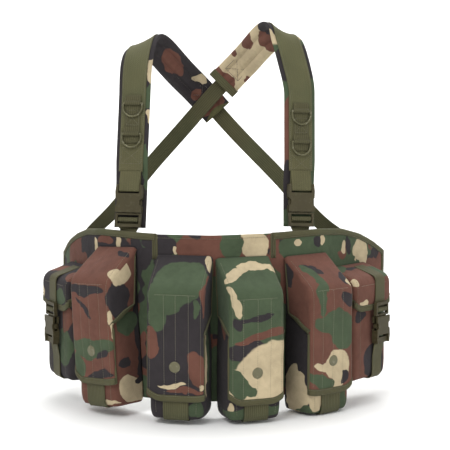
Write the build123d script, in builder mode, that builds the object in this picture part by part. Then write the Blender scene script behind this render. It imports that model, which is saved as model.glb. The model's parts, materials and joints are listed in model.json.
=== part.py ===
"""Chest rig: a curved camouflage panel that wraps the wearer's chest, with four lidded magazine pouches,
two buckled side pouches, padded shoulder straps that cross on the back, and a waist strap.

Millimetres, +Z up. The origin is on the wearer's midline, on the panel's outer face, at half its height.
The wearer stands at +Y and faces -Y, so +X is the wearer's left. Pouches are numbered from -X to +X.
"""

import os
from math import atan2, cos, radians, sin

from build123d import *

# Wrap panel
PANEL_TOP = 122.0
PANEL_BOTTOM = -125.0
PANEL_T = 4.0
LINING_T = 2.0
BINDING_T = 1.2
BINDING_W = 9.0
REAR = 233.0  # how far back the wings reach
BEND_R = 12.0  # outer radius of each soft bend in the wrap
MIDDLE_SEAM = Vector(-6.0, 0.0)
# Straight runs of the wrap from the middle seam outwards: name, length, degrees turned towards the wearer
LEFT_RUNS = [
    ("pouch_3", 88.0, 20.0),
    ("gap_left", 22.0, 29.0),
    ("pouch_4", 90.0, 38.0),
    ("side_left", 105.0, 50.0),
    ("tip_left", 60.0, 55.0),
]
RIGHT_RUNS = [
    ("pouch_2", 88.0, 12.0),
    ("gap_right", 22.0, 27.0),
    ("pouch_1", 98.0, 42.0),
    ("side_right", 105.0, 60.0),
    ("tip_right", 50.0, 70.0),
]

# Magazine pouches, in a frame whose X runs along the wrap, Y points to the wearer and Z is up
POUCH_W = 80.0
POUCH_D = 58.0
POUCH_MOUTH_BACK = 84.0
POUCH_MOUTH_FRONT = 42.0
POUCH_BOTTOM = -141.0
CLOTH_T = 2.0
POUCH_LEAN = {"pouch_1": 4.0, "pouch_2": 0.0, "pouch_3": 0.0, "pouch_4": 0.0}
POUCH_RISE = {"pouch_1": 6.0, "pouch_2": 0.0, "pouch_3": -3.0, "pouch_4": -6.0}  # sewn on high or low
LID_GAP = 0.5
LID_T = 1.8
LID_HINGE_Z = 91.0
LID_HINGE_Y = -2.4
LID_FOLD_Z = 47.0
LID_BOTTOM = {"pouch_1": -106.0, "pouch_2": -112.0, "pouch_3": -116.0, "pouch_4": -110.0}
STRIP_W = 38.0
STRIP_T = 1.6
STRIP_TOP = -42.0
SNAP_Z = {"pouch_1": -54.0, "pouch_2": -60.0, "pouch_3": -65.0, "pouch_4": -57.0}
SNAP_R = 8.3
STUD_R = 3.0

# Side pouches
SIDE_W = 90.0
SIDE_D = 46.0
SIDE_MOUTH_BACK = 52.0
SIDE_MOUTH_FRONT = 38.0
SIDE_BOTTOM = -113.0
SIDE_HINGE_Z = 60.0
SIDE_FOLD_Z = 44.0
SIDE_LID_BOTTOM = -4.0
SIDE_STRAP_X = {"right": 0.0, "left": 14.0}  # where the lid's strap lies across the pouch
SIDE_STRAP_START = 10.0  # how far in front of the lid's hinge the strap begins
SIDE_BUCKLE_Z = -15.0  # the socket's mouth
SIDE_BUCKLE_STAND = 5.6  # from the lid's front to the buckle's middle

# Webbing and buckles
WIDE_WEB = 38.0
NARROW_WEB = 25.0
WEB_T = 1.5
PAD_W = 50.0
PAD_T = 7.0
FRONT_BUCKLE_W = 41.0
NARROW_BUCKLE_W = 34.0
BUCKLE_T = 10.5
BUCKLE_BAR = (33.0, 42.0)  # where the socket's webbing bar starts and ends, from the mouth
BAR_T = 5.0
RING_WIRE_R = 1.6
RING_R = 16.4
RING_SIDE = 5.0
RING_PLAY = 0.3

# Shoulder harness. For each shoulder: the foot of its straight front run, where that run ends, and the
# turn of the strap's face
FRONT_RUN = {
    "right": (Vector(-136, 61, 124), Vector(-128, 92, 325), -14.0),
    "left": (Vector(125, 74, 124), Vector(125, 102, 325), 18.0),
}
# Then the points of its curve over the shoulder, and the direction of its width at each
OVER_SHOULDER = {
    "right": (
        [(-125, 104, 378), (-116, 133, 407), (-72, 206, 372), (-30, 263, 327), (-2, 268, 296)],
        [(0.98, -0.15, 0.1), (0.9, 0, 0.42), (0.7, 0, 0.72), (0.69, 0, 0.72), (0.69, 0, 0.72)],
    ),
    "left": (
        [(116, 112, 376), (99, 136, 423), (60, 203, 398), (28, 246, 364), (4, 250, 340)],
        [(0.97, 0.15, -0.15), (0.87, 0, -0.48), (0.7, -0.3, -0.62), (0.68, -0.1, -0.72), (0.69, 0, -0.72)],
    ),
}
# Narrow webbing from the outside of each pad's end, across the back, down to the inner face of the far wing
BACK_PATHS = {
    "right": (
        [(-18, 252, 316), (-60, 251, 268), (-119, 242, 201), (-186, 226, 123), (-227, 211, 76),
         (-231, 196, 45)],
        [(0.73, 0, -0.7), (0.75, 0, -0.66), (0.72, 0.1, -0.66), (0.45, 0.4, -0.7), (-0.1, 0.6, -0.7),
         (-0.24, 0.67, -0.7)],
    ),
    "left": (
        [(14, 270, 278), (56, 265, 234), (113, 248, 175), (182, 228, 106), (232, 216, 66),
         (238, 200, 40)],
        [(0.71, 0, 0.7), (0.71, 0, 0.7), (0.71, 0, 0.7), (0.45, -0.3, 0.7), (-0.2, -0.5, 0.7),
         (-0.41, -0.58, 0.71)],
    ),
}
RING_AT = {"right": (267.0, 313.0), "left": (255.0, 301.0)}  # heights of the two D-rings' bars
BUCKLE_MOUTH = 150.0  # height of the front buckles' mouths
PANEL_FACE = {"right": -42.0, "left": 38.0}  # turn of the wrap behind each front buckle

# Waist strap
WAIST_MOUTH = Vector(0.0, 292.0, 0.0)
WAIST_WEB = 25.0

os.makedirs("parts", exist_ok=True)


def save(part, name):
    """Labels a finished piece and writes it as its own STEP file."""
    part.label = name
    export_step(part, f"parts/{name}.step")


# ---------------------------------------------------------------- the wrap's plan line


def walk(runs, side):
    """Corners of the plan line outwards from the middle seam, and a frame at the middle of each run."""
    corners, frames = [MIDDLE_SEAM], {}
    for name, length, turn in runs:
        along = Vector(side * cos(radians(turn)), sin(radians(turn)))
        corners.append(corners[-1] + along * length)
        middle = (corners[-1] + corners[-2]) * 0.5
        frames[name] = Plane(origin=middle, x_dir=along * side, z_dir=(0, 0, 1))
    return corners, frames


left_corners, left_frames = walk(LEFT_RUNS, 1)
right_corners, right_frames = walk(RIGHT_RUNS, -1)
PLAN = right_corners[:0:-1] + left_corners
FRAMES = {**left_frames, **right_frames}
MAG_POUCHES = ["pouch_1", "pouch_2", "pouch_3", "pouch_4"]
SIDES = {"right": -1, "left": 1}


def plan_line(points, depth):
    """Corners of the plan line moved by depth towards the wearer, square to each run."""
    moved = []
    for i, point in enumerate(points):
        before = (point - points[max(i - 1, 0)]) if i else (points[1] - point)
        after = (points[min(i + 1, len(points) - 1)] - point) if i < len(points) - 1 else before
        heading = (atan2(before.Y, before.X) + atan2(after.Y, after.X)) / 2
        half_turn = (atan2(after.Y, after.X) - atan2(before.Y, before.X)) / 2
        moved.append(point + Vector(-sin(heading), cos(heading)) * (depth / cos(half_turn)))
    return moved


def wrap_band(near, far):
    """The wrap's plan between two depths behind its outer face."""
    with BuildSketch() as band:
        with BuildLine():
            front = FilletPolyline(*plan_line(PLAN, near), radius=BEND_R - near)
            back = FilletPolyline(*plan_line(PLAN, far), radius=BEND_R - far)
            Line(front @ 0, back @ 0)
            Line(front @ 1, back @ 1)
        make_face()
    return band.sketch


def wing_profile(shrink):
    """Side outline of the wrap: full height at the front, and lower towards the rear of each wing."""
    top = [(-30, 0), (90, 0), (130, -4), (165, -15), (200, -32), (REAR, -52)]
    bottom = [(REAR, 68), (200, 44), (150, 18), (110, 6), (60, 0), (-30, 0)]
    points = [(min(y, REAR - shrink), PANEL_TOP + z - shrink) for y, z in top]
    points += [(min(y, REAR - shrink), PANEL_BOTTOM + z + shrink) for y, z in bottom]
    with BuildSketch() as outline:
        with BuildLine():
            Polyline(*points, close=True)
        make_face()
    return outline.sketch


def wrap_layer(near, far, shrink):
    """One cloth layer of the wrap, cut to the wings' side outline."""
    with BuildPart() as layer:
        with BuildSketch(Plane.XY.offset(PANEL_BOTTOM - 10)):
            add(wrap_band(near, far))
        extrude(amount=PANEL_TOP - PANEL_BOTTOM + 20)
        with BuildSketch(Plane.YZ):
            add(wing_profile(shrink))
        extrude(amount=330, both=True, mode=Mode.INTERSECT)
    return layer.part


chest_panel = wrap_layer(0, PANEL_T, 0)
save(chest_panel, "chest_panel")
panel_lining = wrap_layer(PANEL_T, PANEL_T + LINING_T, 3.0)
save(panel_lining, "panel_lining")

# Folded tape over the wings' top and rear edges, open over the middle pouches
with BuildPart() as panel_binding:
    add(wrap_layer(-BINDING_T, PANEL_T + LINING_T + BINDING_T, -BINDING_T))
    add(wrap_layer(-3 * BINDING_T, PANEL_T + LINING_T + 3 * BINDING_T, BINDING_W), mode=Mode.SUBTRACT)
    with Locations((0, 0, -50)):
        Box(700, 700, 120, align=(Align.CENTER, Align.CENTER, Align.MAX), mode=Mode.SUBTRACT)
    with Locations(((left_corners[1].X + right_corners[1].X) / 2, 0, 0)):
        Box(left_corners[1].X - right_corners[1].X + 6, 200, 400, mode=Mode.SUBTRACT)
    add(wrap_layer(-0.01, PANEL_T + LINING_T + 0.01, 0), mode=Mode.SUBTRACT)
save(panel_binding.part, "panel_binding")


# ---------------------------------------------------------------- pouches


def tub_outline(width, depth, corner):
    """Plan of a pouch against the wrap, with its front corners rounded."""
    with BuildSketch() as outline:
        Rectangle(width, depth, align=(Align.CENTER, Align.MAX))
        if corner > 0:
            fillet(outline.vertices().group_by(Axis.Y)[0], corner)
    return outline.sketch


def side_slice(frame, points):
    """A closed outline drawn in a pouch frame's own Y and Z, centred on the pouch."""
    plane = Plane(origin=frame.origin, x_dir=frame.y_dir, z_dir=frame.x_dir)
    with BuildSketch(plane) as outline:
        with BuildLine():
            Polyline(*points, close=True)
        make_face()
    return outline.sketch


def pouch_tub(frame, width, depth, bottom, mouth_back, mouth_front):
    """An open-topped cloth pouch, its mouth sloping down to the front."""
    inner_w, inner_d = width - 2 * CLOTH_T, depth - 2 * CLOTH_T
    over = mouth_back + 20
    with BuildPart() as tub:
        with BuildSketch(frame.offset(bottom)):
            add(tub_outline(width, depth, 12))
        extrude(amount=over - bottom)
        with BuildSketch(frame.offset(bottom + CLOTH_T)):
            with Locations((0, -CLOTH_T)):
                add(tub_outline(inner_w, inner_d, 10))
        extrude(amount=over - bottom, mode=Mode.SUBTRACT)
        mouth = [(5, over + 50), (5, mouth_back), (0, mouth_back)]
        mouth += [(-depth, mouth_front), (-depth - 5, mouth_front)]
        with BuildSketch(Plane(origin=frame.origin, x_dir=frame.y_dir, z_dir=frame.x_dir)):
            with BuildLine():
                Polyline(*mouth, (-depth - 5, over + 50), close=True)
            make_face()
        extrude(amount=width, both=True, mode=Mode.SUBTRACT)
    return tub.part


def lid_shell(frame, width, depth, hinge_z, fold_z, bottom, ear_front, ear_back, snap_z=None):
    """A lid: a sloping top, a long front flap and two side ears, one cloth thick."""
    slice_plane = Plane(origin=frame.origin, x_dir=frame.y_dir, z_dir=frame.x_dir)
    outer_w = width + 2 * (LID_GAP + LID_T)
    front = -depth - STRIP_T - LID_GAP - 0.3
    outside = [(LID_HINGE_Y, hinge_z + LID_T), (front - LID_T, fold_z + LID_T), (front - LID_T, bottom)]
    inside = [(front, bottom), (front, fold_z), (LID_HINGE_Y, hinge_z)]
    ear = [(LID_HINGE_Y, hinge_z), (front, fold_z), (front, ear_front)]
    ear += [(-0.75 * depth, ear_front + 6), (-10, ear_back)]
    with BuildPart() as lid:
        with BuildSketch(slice_plane):
            with BuildLine():
                Polyline(*outside, *inside, close=True)
            make_face()
        extrude(amount=outer_w / 2, both=True)
        for edge in (-1, 1):
            with BuildSketch(slice_plane.offset(edge * (outer_w - LID_T) / 2)):
                with BuildLine():
                    Polyline(*ear, close=True)
                make_face()
            extrude(amount=LID_T / 2, both=True)
        if snap_z is not None:
            with BuildSketch(Plane(origin=frame.origin, x_dir=frame.x_dir, z_dir=-frame.y_dir)):
                with Locations((0, snap_z)):
                    Circle(STUD_R + 2)
            extrude(amount=depth + 20, mode=Mode.SUBTRACT)
    return lid.part


def front_plane(frame, distance):
    """A plane facing forwards, its X along the wrap and its Y up, at a distance in front of the wrap."""
    return Plane(origin=frame.origin - frame.y_dir * distance, x_dir=frame.x_dir, z_dir=-frame.y_dir)


pouch_frames = {}
for name in MAG_POUCHES:
    frame, lean = FRAMES[name], radians(POUCH_LEAN[name])
    upward = frame.z_dir * cos(lean) - frame.x_dir * sin(lean)
    origin = frame.origin + Vector(0, 0, POUCH_RISE[name])
    pouch_frames[name] = Plane(origin=origin, x_dir=frame.y_dir.cross(upward), z_dir=upward)

for name in MAG_POUCHES:
    frame = pouch_frames[name]
    tub = pouch_tub(frame, POUCH_W, POUCH_D, POUCH_BOTTOM, POUCH_MOUTH_BACK, POUCH_MOUTH_FRONT)
    save(tub, f"{name}_body")
    lid = lid_shell(frame, POUCH_W, POUCH_D, LID_HINGE_Z, LID_FOLD_Z, LID_BOTTOM[name], -26, 6, SNAP_Z[name])
    save(lid, f"{name}_lid")
    lid_front = POUCH_D + STRIP_T + LID_GAP + 0.3 + LID_T
    with BuildPart() as snap_cap:
        with BuildSketch(front_plane(frame, lid_front)):
            with Locations((0, SNAP_Z[name])):
                Circle(SNAP_R)
        extrude(amount=2.4)
        fillet(snap_cap.faces().sort_by(-Axis((0, 0, 0), frame.y_dir)).first.edges(), 1.2)
        with BuildSketch(front_plane(frame, lid_front)):
            with Locations((0, SNAP_Z[name])):
                Circle(STUD_R + 1.3)
        extrude(amount=1.2, mode=Mode.SUBTRACT)
    save(snap_cap.part, f"{name}_snap_cap")

# Webbing strip down the front of each magazine pouch and under its bottom, with the snap's stud on it
with BuildPart() as front_strips:
    for name in MAG_POUCHES:
        frame = pouch_frames[name]
        near, far = -POUCH_D, -POUCH_D - STRIP_T
        low, under = POUCH_BOTTOM, POUCH_BOTTOM - STRIP_T
        with BuildSketch(Plane(origin=frame.origin, x_dir=frame.y_dir, z_dir=frame.x_dir)):
            with BuildLine():
                Polyline((near, STRIP_TOP), (far, STRIP_TOP), (far, under), (-30, under), (-30, low),
                         (near, low), close=True)
            make_face()
        extrude(amount=STRIP_W / 2, both=True)
save(front_strips.part, "pouch_front_webbing")

with BuildPart() as snap_studs:
    for name in MAG_POUCHES:
        with BuildSketch(front_plane(pouch_frames[name], POUCH_D + STRIP_T)):
            with Locations((0, SNAP_Z[name])):
                Circle(STUD_R)
        extrude(amount=LID_GAP + 0.3 + LID_T + 0.7)
save(snap_studs.part, "snap_studs")


# ---------------------------------------------------------------- side-release buckles


def buckle(frame, width):
    """A side-release buckle in a frame whose X is across, Y towards the socket's bar and Z outwards.

    The origin is at the socket's mouth. Returns the socket, the plug's frame and tongue, and its two prongs.
    """
    web = width - 8.0
    half = width / 2
    thick = BUCKLE_T
    bore_h = 5.0
    mouth_half = half - 3.4
    pivot_x = half - 8.6
    window = (9.5, 20.5)
    body_end = BUCKLE_BAR[0] - 2.0
    bar_end = BUCKLE_BAR[1]
    with BuildPart() as socket:
        with BuildSketch(frame.offset(-thick / 2)):
            with BuildLine():
                Polyline((-half, 0), (half, 0), (half, window[0]), (half - 3, window[0] + 2),
                         (half - 3, window[1] - 2), (half, window[1]), (half + 0.6, body_end),
                         (half - 0.6, bar_end), (-half + 0.6, bar_end), (-half - 0.6, body_end),
                         (-half, window[1]), (-half + 3, window[1] - 2), (-half + 3, window[0] + 2),
                         (-half, window[0]), close=True)
            make_face()
        extrude(amount=thick)
        for face_z, side in ((-thick / 2, -1), (thick / 2, 1)):
            with BuildSketch(frame.offset(face_z)):
                with Locations((0, (body_end + bar_end) / 2 + 1)):
                    Rectangle(web, bar_end - body_end)
            extrude(amount=-side * (thick - BAR_T) / 2, mode=Mode.SUBTRACT)
        with BuildSketch(frame.offset(-bore_h / 2)):
            with Locations((0, 11)):
                Rectangle(2 * mouth_half, 22 + 0.4)
        extrude(amount=bore_h, mode=Mode.SUBTRACT)
        with BuildSketch(frame.offset(-bore_h / 2)):
            with Locations((0, 15.5)):
                Rectangle(width + 4, window[1] - window[0] + 2.5)
        extrude(amount=bore_h, mode=Mode.SUBTRACT)
        with BuildSketch(frame.offset(-2.0)):
            with Locations((0, 6)):
                Rectangle(width + 4, 12.4)
        extrude(amount=4.0, mode=Mode.SUBTRACT)
        with BuildSketch(frame.offset(-thick)):
            with Locations((0, BUCKLE_BAR[0] - 2)):
                Rectangle(web, 4)
        extrude(amount=2 * thick, mode=Mode.SUBTRACT)
    with BuildPart() as plug:
        with BuildSketch(frame.offset(-2.8)):
            with BuildLine():
                Polyline((-half, -1), (-half + 1, -22), (half - 1, -22), (half, -1), close=True)
            make_face()
        extrude(amount=5.6)
        with BuildSketch(frame.offset(-1.8)):
            with Locations((0, 8.5)):
                Rectangle(7, 21)
        extrude(amount=3.6)
        with BuildSketch(frame.offset(-thick)):
            with Locations((0, -6.2), (0, -14.6)):
                Rectangle(web, 5.0)
        extrude(amount=2 * thick, mode=Mode.SUBTRACT)
        with BuildSketch(frame.offset(1.4)):
            with Locations((0, -10.4)):
                Rectangle(web, 4.0)
        extrude(amount=thick, mode=Mode.SUBTRACT)
        with BuildSketch(frame.offset(-thick)):
            with Locations((pivot_x, 0), (-pivot_x, 0)):
                Circle(2.1)
        extrude(amount=2 * thick, mode=Mode.SUBTRACT)
    prongs = []
    for side in (-1, 1):
        with BuildPart() as prong:
            with BuildSketch(frame.offset(-1.7)):
                with Locations((side * pivot_x, 0)):
                    Circle(1.8)
                with BuildLine():
                    Polyline((side * (pivot_x - 1.5), 0), (side * (pivot_x + 1.5), 0),
                             (side * (pivot_x + 1.7), 10.4), (side * (half - 0.3), 10.9),
                             (side * (half - 0.3), 17.2), (side * (half - 4.5), 20.6),
                             (side * (pivot_x - 0.8), 19.6), close=True)
                make_face()
            extrude(amount=3.4)
        prongs.append(prong.part)
    return socket.part, plug.part, prongs[0], prongs[1]


# A length of webbing: a chain of sections, each a place, the direction of its width, and how deep it lies


def section(place, across, along):
    """A plane across a strap: X along its width, Z along its length, Y towards the wearer."""
    along = Vector(*along).normalized()
    across = Vector(*across)
    across = (across - along * across.dot(along)).normalized()
    return Plane(origin=place, x_dir=across, z_dir=along)


def curve_sections(points, across, start, end, steps=3):
    """Sections along a smooth curve through the points, its width turning steadily between them."""
    path = Spline(*points, tangents=[start, end])
    stops = [0.0] + [path.param_at_point(point) for point in points[1:-1]] + [1.0]
    planes = []
    for i in range(len(points) - 1):
        first, last = Vector(*across[i]), Vector(*across[i + 1])
        for step in range(steps + (i == len(points) - 2)):
            share = step / steps
            u = stops[i] + (stops[i + 1] - stops[i]) * share
            width_way = first * (1 - share) + last * share
            planes.append(section(path.position_at(u), width_way, path.tangent_at(u)))
    return planes


def ribbon(planes, width, depths):
    """A flat strap through the planes. Depths is one (near, far) pair, or one for each plane."""
    if isinstance(depths, tuple):
        depths = [depths] * len(planes)
    with BuildPart() as strap:
        for plane, (near, far) in zip(planes, depths):
            with BuildSketch(plane):
                with Locations((0, (near + far) / 2)):
                    Rectangle(width, far - near)
        loft(ruled=True)
    return strap.part


def level_ribbon(planes, width, near, far):
    """A flat strap standing on edge, whose line stays in one level plane."""
    front = [plane.origin + plane.y_dir * near for plane in planes]
    back = [plane.origin + plane.y_dir * far for plane in planes]
    with BuildPart() as strap:
        with BuildSketch(Plane.XY.offset(planes[0].origin.Z)):
            with BuildLine():
                Polyline(*[(point.X, point.Y) for point in front + back[::-1]], close=True)
            make_face()
        extrude(amount=width / 2, both=True)
    return strap.part


def bar_loop(frame, width, reach):
    """Webbing folded round a socket's bar, its two layers joining a single strap at Y = reach."""
    inner = BAR_T / 2 + 0.3
    outer = inner + WEB_T
    low = BUCKLE_BAR[0] - 0.3
    high = BUCKLE_BAR[1] + 0.6
    profile = Plane(origin=frame.origin, x_dir=frame.y_dir, z_dir=frame.x_dir)
    with BuildPart() as loop:
        with BuildSketch(profile):
            with BuildLine():
                Polyline((low - WEB_T, -outer), (high, -outer), (reach, -WEB_T), (reach, 0), (high, outer),
                         (low - WEB_T, outer), close=True)
            make_face()
        extrude(amount=width / 2, both=True)
        with BuildSketch(profile):
            with Locations(((low + high) / 2, 0)):
                Rectangle(high - low, 2 * inner)
        extrude(amount=width, both=True, mode=Mode.SUBTRACT)
    return loop.part


def ladder_loop(frame, width):
    """Webbing folded round a plug's middle bar, with its tail leading down behind the lower bar."""
    profile = Plane(origin=frame.origin, x_dir=frame.y_dir, z_dir=frame.x_dir)
    with BuildPart() as loop:
        with BuildSketch(profile):
            with BuildLine():
                Polyline((-13.9, 3.2), (-6.9, 3.2), (-6.9, -4.6), (-24, -4.6), (-24, -3.1), (-13.9, -3.1),
                         close=True)
            make_face()
            with Locations((-10.4, -0.7)):
                Rectangle(4.0, 4.8, mode=Mode.SUBTRACT)
        extrude(amount=width / 2, both=True)
    return loop.part


# ---------------------------------------------------------------- side pouches

side_frames = {"right": FRAMES["side_right"], "left": FRAMES["side_left"]}
side_front = SIDE_D + STRIP_T + LID_GAP + 0.3 + LID_T


def strap_slice(frame, x):
    """A plane down the middle of a side pouch's strap: its X points to the wearer and its Y is up."""
    return Plane(origin=frame.from_local_coords(Vector(x, 0, 0)), x_dir=frame.y_dir, z_dir=frame.x_dir)


with BuildPart() as side_lower_webbing:
    for hand, frame in side_frames.items():
        low_slot = SIDE_BUCKLE_Z - BUCKLE_BAR[1] - 1.2
        with BuildSketch(strap_slice(frame, SIDE_STRAP_X[hand])):
            with BuildLine():
                Polyline((-SIDE_D, low_slot - 16), (-SIDE_D - WEB_T - 1, low_slot - 4),
                         (-SIDE_D - WEB_T - 1, low_slot),
                         (-SIDE_D - WEB_T - 4, low_slot), (-SIDE_D - WEB_T - 4, low_slot - 4),
                         (-SIDE_D - WEB_T, low_slot - 20), (-SIDE_D - WEB_T, SIDE_BOTTOM - WEB_T),
                         (-20, SIDE_BOTTOM - WEB_T), (-20, SIDE_BOTTOM), (-SIDE_D, SIDE_BOTTOM), close=True)
            make_face()
        extrude(amount=NARROW_WEB / 2, both=True)
save(side_lower_webbing.part, "side_pouch_lower_webbing")

for hand, frame in side_frames.items():
    tub = pouch_tub(frame, SIDE_W, SIDE_D, SIDE_BOTTOM, SIDE_MOUTH_BACK, SIDE_MOUTH_FRONT)
    save(tub, f"side_pouch_{hand}_body")
    lid = lid_shell(frame, SIDE_W, SIDE_D, SIDE_HINGE_Z, SIDE_FOLD_Z, SIDE_LID_BOTTOM, 4, 18)
    save(lid, f"side_pouch_{hand}_lid")

    # The lid's strap runs over its top and front to the plug; the closed buckle hangs over the lid's edge
    mouth = front_plane(frame, side_front + SIDE_BUCKLE_STAND)
    mouth_point = mouth.from_local_coords(Vector(SIDE_STRAP_X[hand], SIDE_BUCKLE_Z, 0))
    down = Plane(origin=mouth_point, x_dir=-mouth.x_dir, z_dir=mouth.z_dir)
    socket, plug, prong_a, prong_b = buckle(down, NARROW_BUCKLE_W)
    save(socket, f"side_buckle_{hand}_socket")
    save(plug, f"side_buckle_{hand}_plug")
    save(prong_a, f"side_buckle_{hand}_prong_a")
    save(prong_b, f"side_buckle_{hand}_prong_b")
    fold_y, fold_z = -side_front, SIDE_FOLD_Z + LID_T
    share = SIDE_STRAP_START / (LID_HINGE_Y - fold_y)
    top_y = LID_HINGE_Y - SIDE_STRAP_START
    top_z = SIDE_HINGE_Z + LID_T - (SIDE_HINGE_Z - SIDE_FOLD_Z) * share
    with BuildPart() as lid_strap:
        with BuildSketch(strap_slice(frame, SIDE_STRAP_X[hand])):
            with BuildLine():
                Polyline((top_y, top_z), (top_y, top_z + WEB_T), (fold_y - WEB_T, fold_z + WEB_T),
                         (fold_y - 2.6, SIDE_BUCKLE_Z + 24), (fold_y - 2.6, SIDE_BUCKLE_Z + 13),
                         (fold_y - 1.1, SIDE_BUCKLE_Z + 13), (fold_y - 1.1, SIDE_BUCKLE_Z + 24),
                         (fold_y, fold_z), close=True)
            make_face()
        extrude(amount=NARROW_WEB / 2, both=True)
        add(ladder_loop(down, NARROW_WEB))
    save(lid_strap.part, f"side_pouch_{hand}_lid_strap")


# ---------------------------------------------------------------- shoulder harness

def run_plane(hand, height):
    """A plane on the outer face of a strap's straight front run: X across, Y up the strap, Z outwards."""
    foot, head, turn = FRONT_RUN[hand]
    along = (head - foot).normalized()
    across = Vector(cos(radians(turn)), sin(radians(turn)), 0)
    across = (across - along * across.dot(along)).normalized()
    place = foot + (head - foot) * ((height - foot.Z) / (head.Z - foot.Z))
    return Plane(origin=place, x_dir=across, z_dir=across.cross(along))


def run_section(hand, height):
    """A section across a strap's straight front run."""
    plane = run_plane(hand, height)
    return Plane(origin=plane.origin, x_dir=plane.x_dir, z_dir=plane.y_dir)


shoulder_ends = {}
for hand in SIDES:
    head = FRONT_RUN[hand][1]
    points, across = OVER_SHOULDER[hand]
    top = run_section(hand, head.Z)
    end_way = Vector(*points[-1]) - Vector(*points[-2])
    curve = curve_sections([head] + points, [tuple(top.x_dir)] + across, top.z_dir, end_way)
    shoulder_ends[hand] = curve[-1]

    buckle_frame = run_plane(hand, BUCKLE_MOUTH)
    socket, plug, prong_a, prong_b = buckle(buckle_frame, FRONT_BUCKLE_W)
    save(socket, f"front_buckle_{hand}_socket")
    save(plug, f"front_buckle_{hand}_plug")
    save(prong_a, f"front_buckle_{hand}_prong_a")
    save(prong_b, f"front_buckle_{hand}_prong_b")

    join = BUCKLE_BAR[1] + 20
    join_height = BUCKLE_MOUTH + join * buckle_frame.y_dir.Z
    with BuildPart() as shoulder_webbing:
        add(ribbon([run_section(hand, join_height)] + curve, WIDE_WEB, (0, WEB_T)))
        add(bar_loop(buckle_frame, FRONT_BUCKLE_W - 8.6, join + 0.5))
    save(shoulder_webbing.part, f"shoulder_webbing_{hand}")

    low = [run_section(hand, height) for height in (128.0, 196.0, 226.0)]
    depths = [(6.6, 11.6), (6.6, 11.6)] + [(WEB_T, WEB_T + PAD_T)] * (len(curve) + 1)
    save(ribbon(low + curve, PAD_W, depths), f"shoulder_pad_{hand}")

    # A strip sewn down the strap holds two D-rings in loops
    lower_at, upper_at = RING_AT[hand]
    ring_planes = [run_plane(hand, height) for height in (lower_at, upper_at)]
    middle = run_plane(hand, (lower_at + upper_at) / 2 + 1)
    loop_in = RING_WIRE_R + RING_PLAY
    loop_z = loop_in + 2.0
    with BuildPart() as ring_loops:
        with BuildSketch(middle):
            Rectangle(NARROW_WEB, upper_at - lower_at + 28)
        extrude(amount=1.2)
        for plane in ring_planes:
            profile = Plane(origin=plane.origin, x_dir=plane.y_dir, z_dir=plane.x_dir)
            with BuildSketch(profile):
                with Locations((0, loop_z)):
                    Circle(loop_in + 1.2)
                with Locations((4, loop_z / 2 + 0.8)):
                    Rectangle(8, loop_z + 1.6)
                with Locations((0, loop_z)):
                    Circle(loop_in, mode=Mode.SUBTRACT)
            extrude(amount=NARROW_WEB / 2, both=True)
            with BuildSketch(profile):
                with Locations((0, loop_z)):
                    Circle(loop_in)
            extrude(amount=NARROW_WEB, both=True, mode=Mode.SUBTRACT)
    save(ring_loops.part, f"d_ring_loops_{hand}")

    for plane, level in zip(ring_planes, ("lower", "upper")):
        level_plane = plane.offset(loop_z)
        rim = RING_R - RING_WIRE_R
        with BuildPart() as ring:
            with BuildLine(level_plane) as outline:
                bar = Line((-rim, 0), (rim, 0))
                down_right = Line(bar @ 1, (rim, -RING_SIDE))
                round_end = ThreePointArc((rim, -RING_SIDE), (0, -RING_SIDE - rim), (-rim, -RING_SIDE))
                Line(round_end @ 1, bar @ 0)
            with BuildSketch(Plane(origin=bar @ 0.5, z_dir=bar % 0.5)):
                Circle(RING_WIRE_R)
            sweep(path=outline.wires()[0], transition=Transition.ROUND)
        save(ring.part, f"d_ring_{level}_{hand}")

# Webbing from each plug, twisting to lie flat on the inner face of the wrap
with BuildPart() as adjuster_webbing:
    for hand in SIDES:
        turn = radians(PANEL_FACE[hand])
        face = Vector(cos(turn), sin(turn), 0)
        start = run_plane(hand, BUCKLE_MOUTH)
        begin = start.from_local_coords(Vector(0, -22, -3.1))
        begin_plane = Plane(origin=begin, x_dir=start.x_dir, z_dir=-start.y_dir)
        frame = FRAMES["pouch_1" if hand == "right" else "pouch_4"]
        local = frame.to_local_coords(begin)
        depth = PANEL_T + LINING_T + BINDING_T + 0.4
        spots = [frame.from_local_coords(Vector(local.X, depth, z)) for z in (122.5, 112, 75)]
        planes = [begin_plane] + [section(spot, tuple(face), (0, 0, -1)) for spot in spots]
        add(ribbon(planes, FRONT_BUCKLE_W - 10, (-WEB_T, 0)))
        add(ladder_loop(start, FRONT_BUCKLE_W - 10))
save(adjuster_webbing.part, "front_adjuster_webbing")

for hand, (points, across) in BACK_PATHS.items():
    pad_end = shoulder_ends["left" if hand == "right" else "right"]
    start = pad_end.origin - pad_end.z_dir * 10 - pad_end.y_dir * (WEB_T + 0.7)
    way_out = Vector(*points[-1]) - Vector(*points[-2])
    planes = curve_sections([start] + points, [tuple(pad_end.x_dir)] + across, pad_end.z_dir, way_out)
    save(ribbon(planes, NARROW_WEB, (0, WEB_T)), f"back_webbing_{hand}")

# A band of webbing round the end of the pad that lies nearer the wearer
keeper_plane = shoulder_ends["left"]
with BuildPart() as crossing_keeper:
    near, far = -WEB_T - 1.4, WEB_T + PAD_T + 0.9
    with BuildSketch(keeper_plane):
        with Locations((0, (near + far) / 2)):
            RectangleRounded(PAD_W + 1.6 + 2.4, far - near + 2.4, 1.5)
            Rectangle(PAD_W + 1.6, far - near, mode=Mode.SUBTRACT)
    extrude(amount=-12)
save(crossing_keeper.part, "crossing_keeper")


# ---------------------------------------------------------------- waist strap

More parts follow.
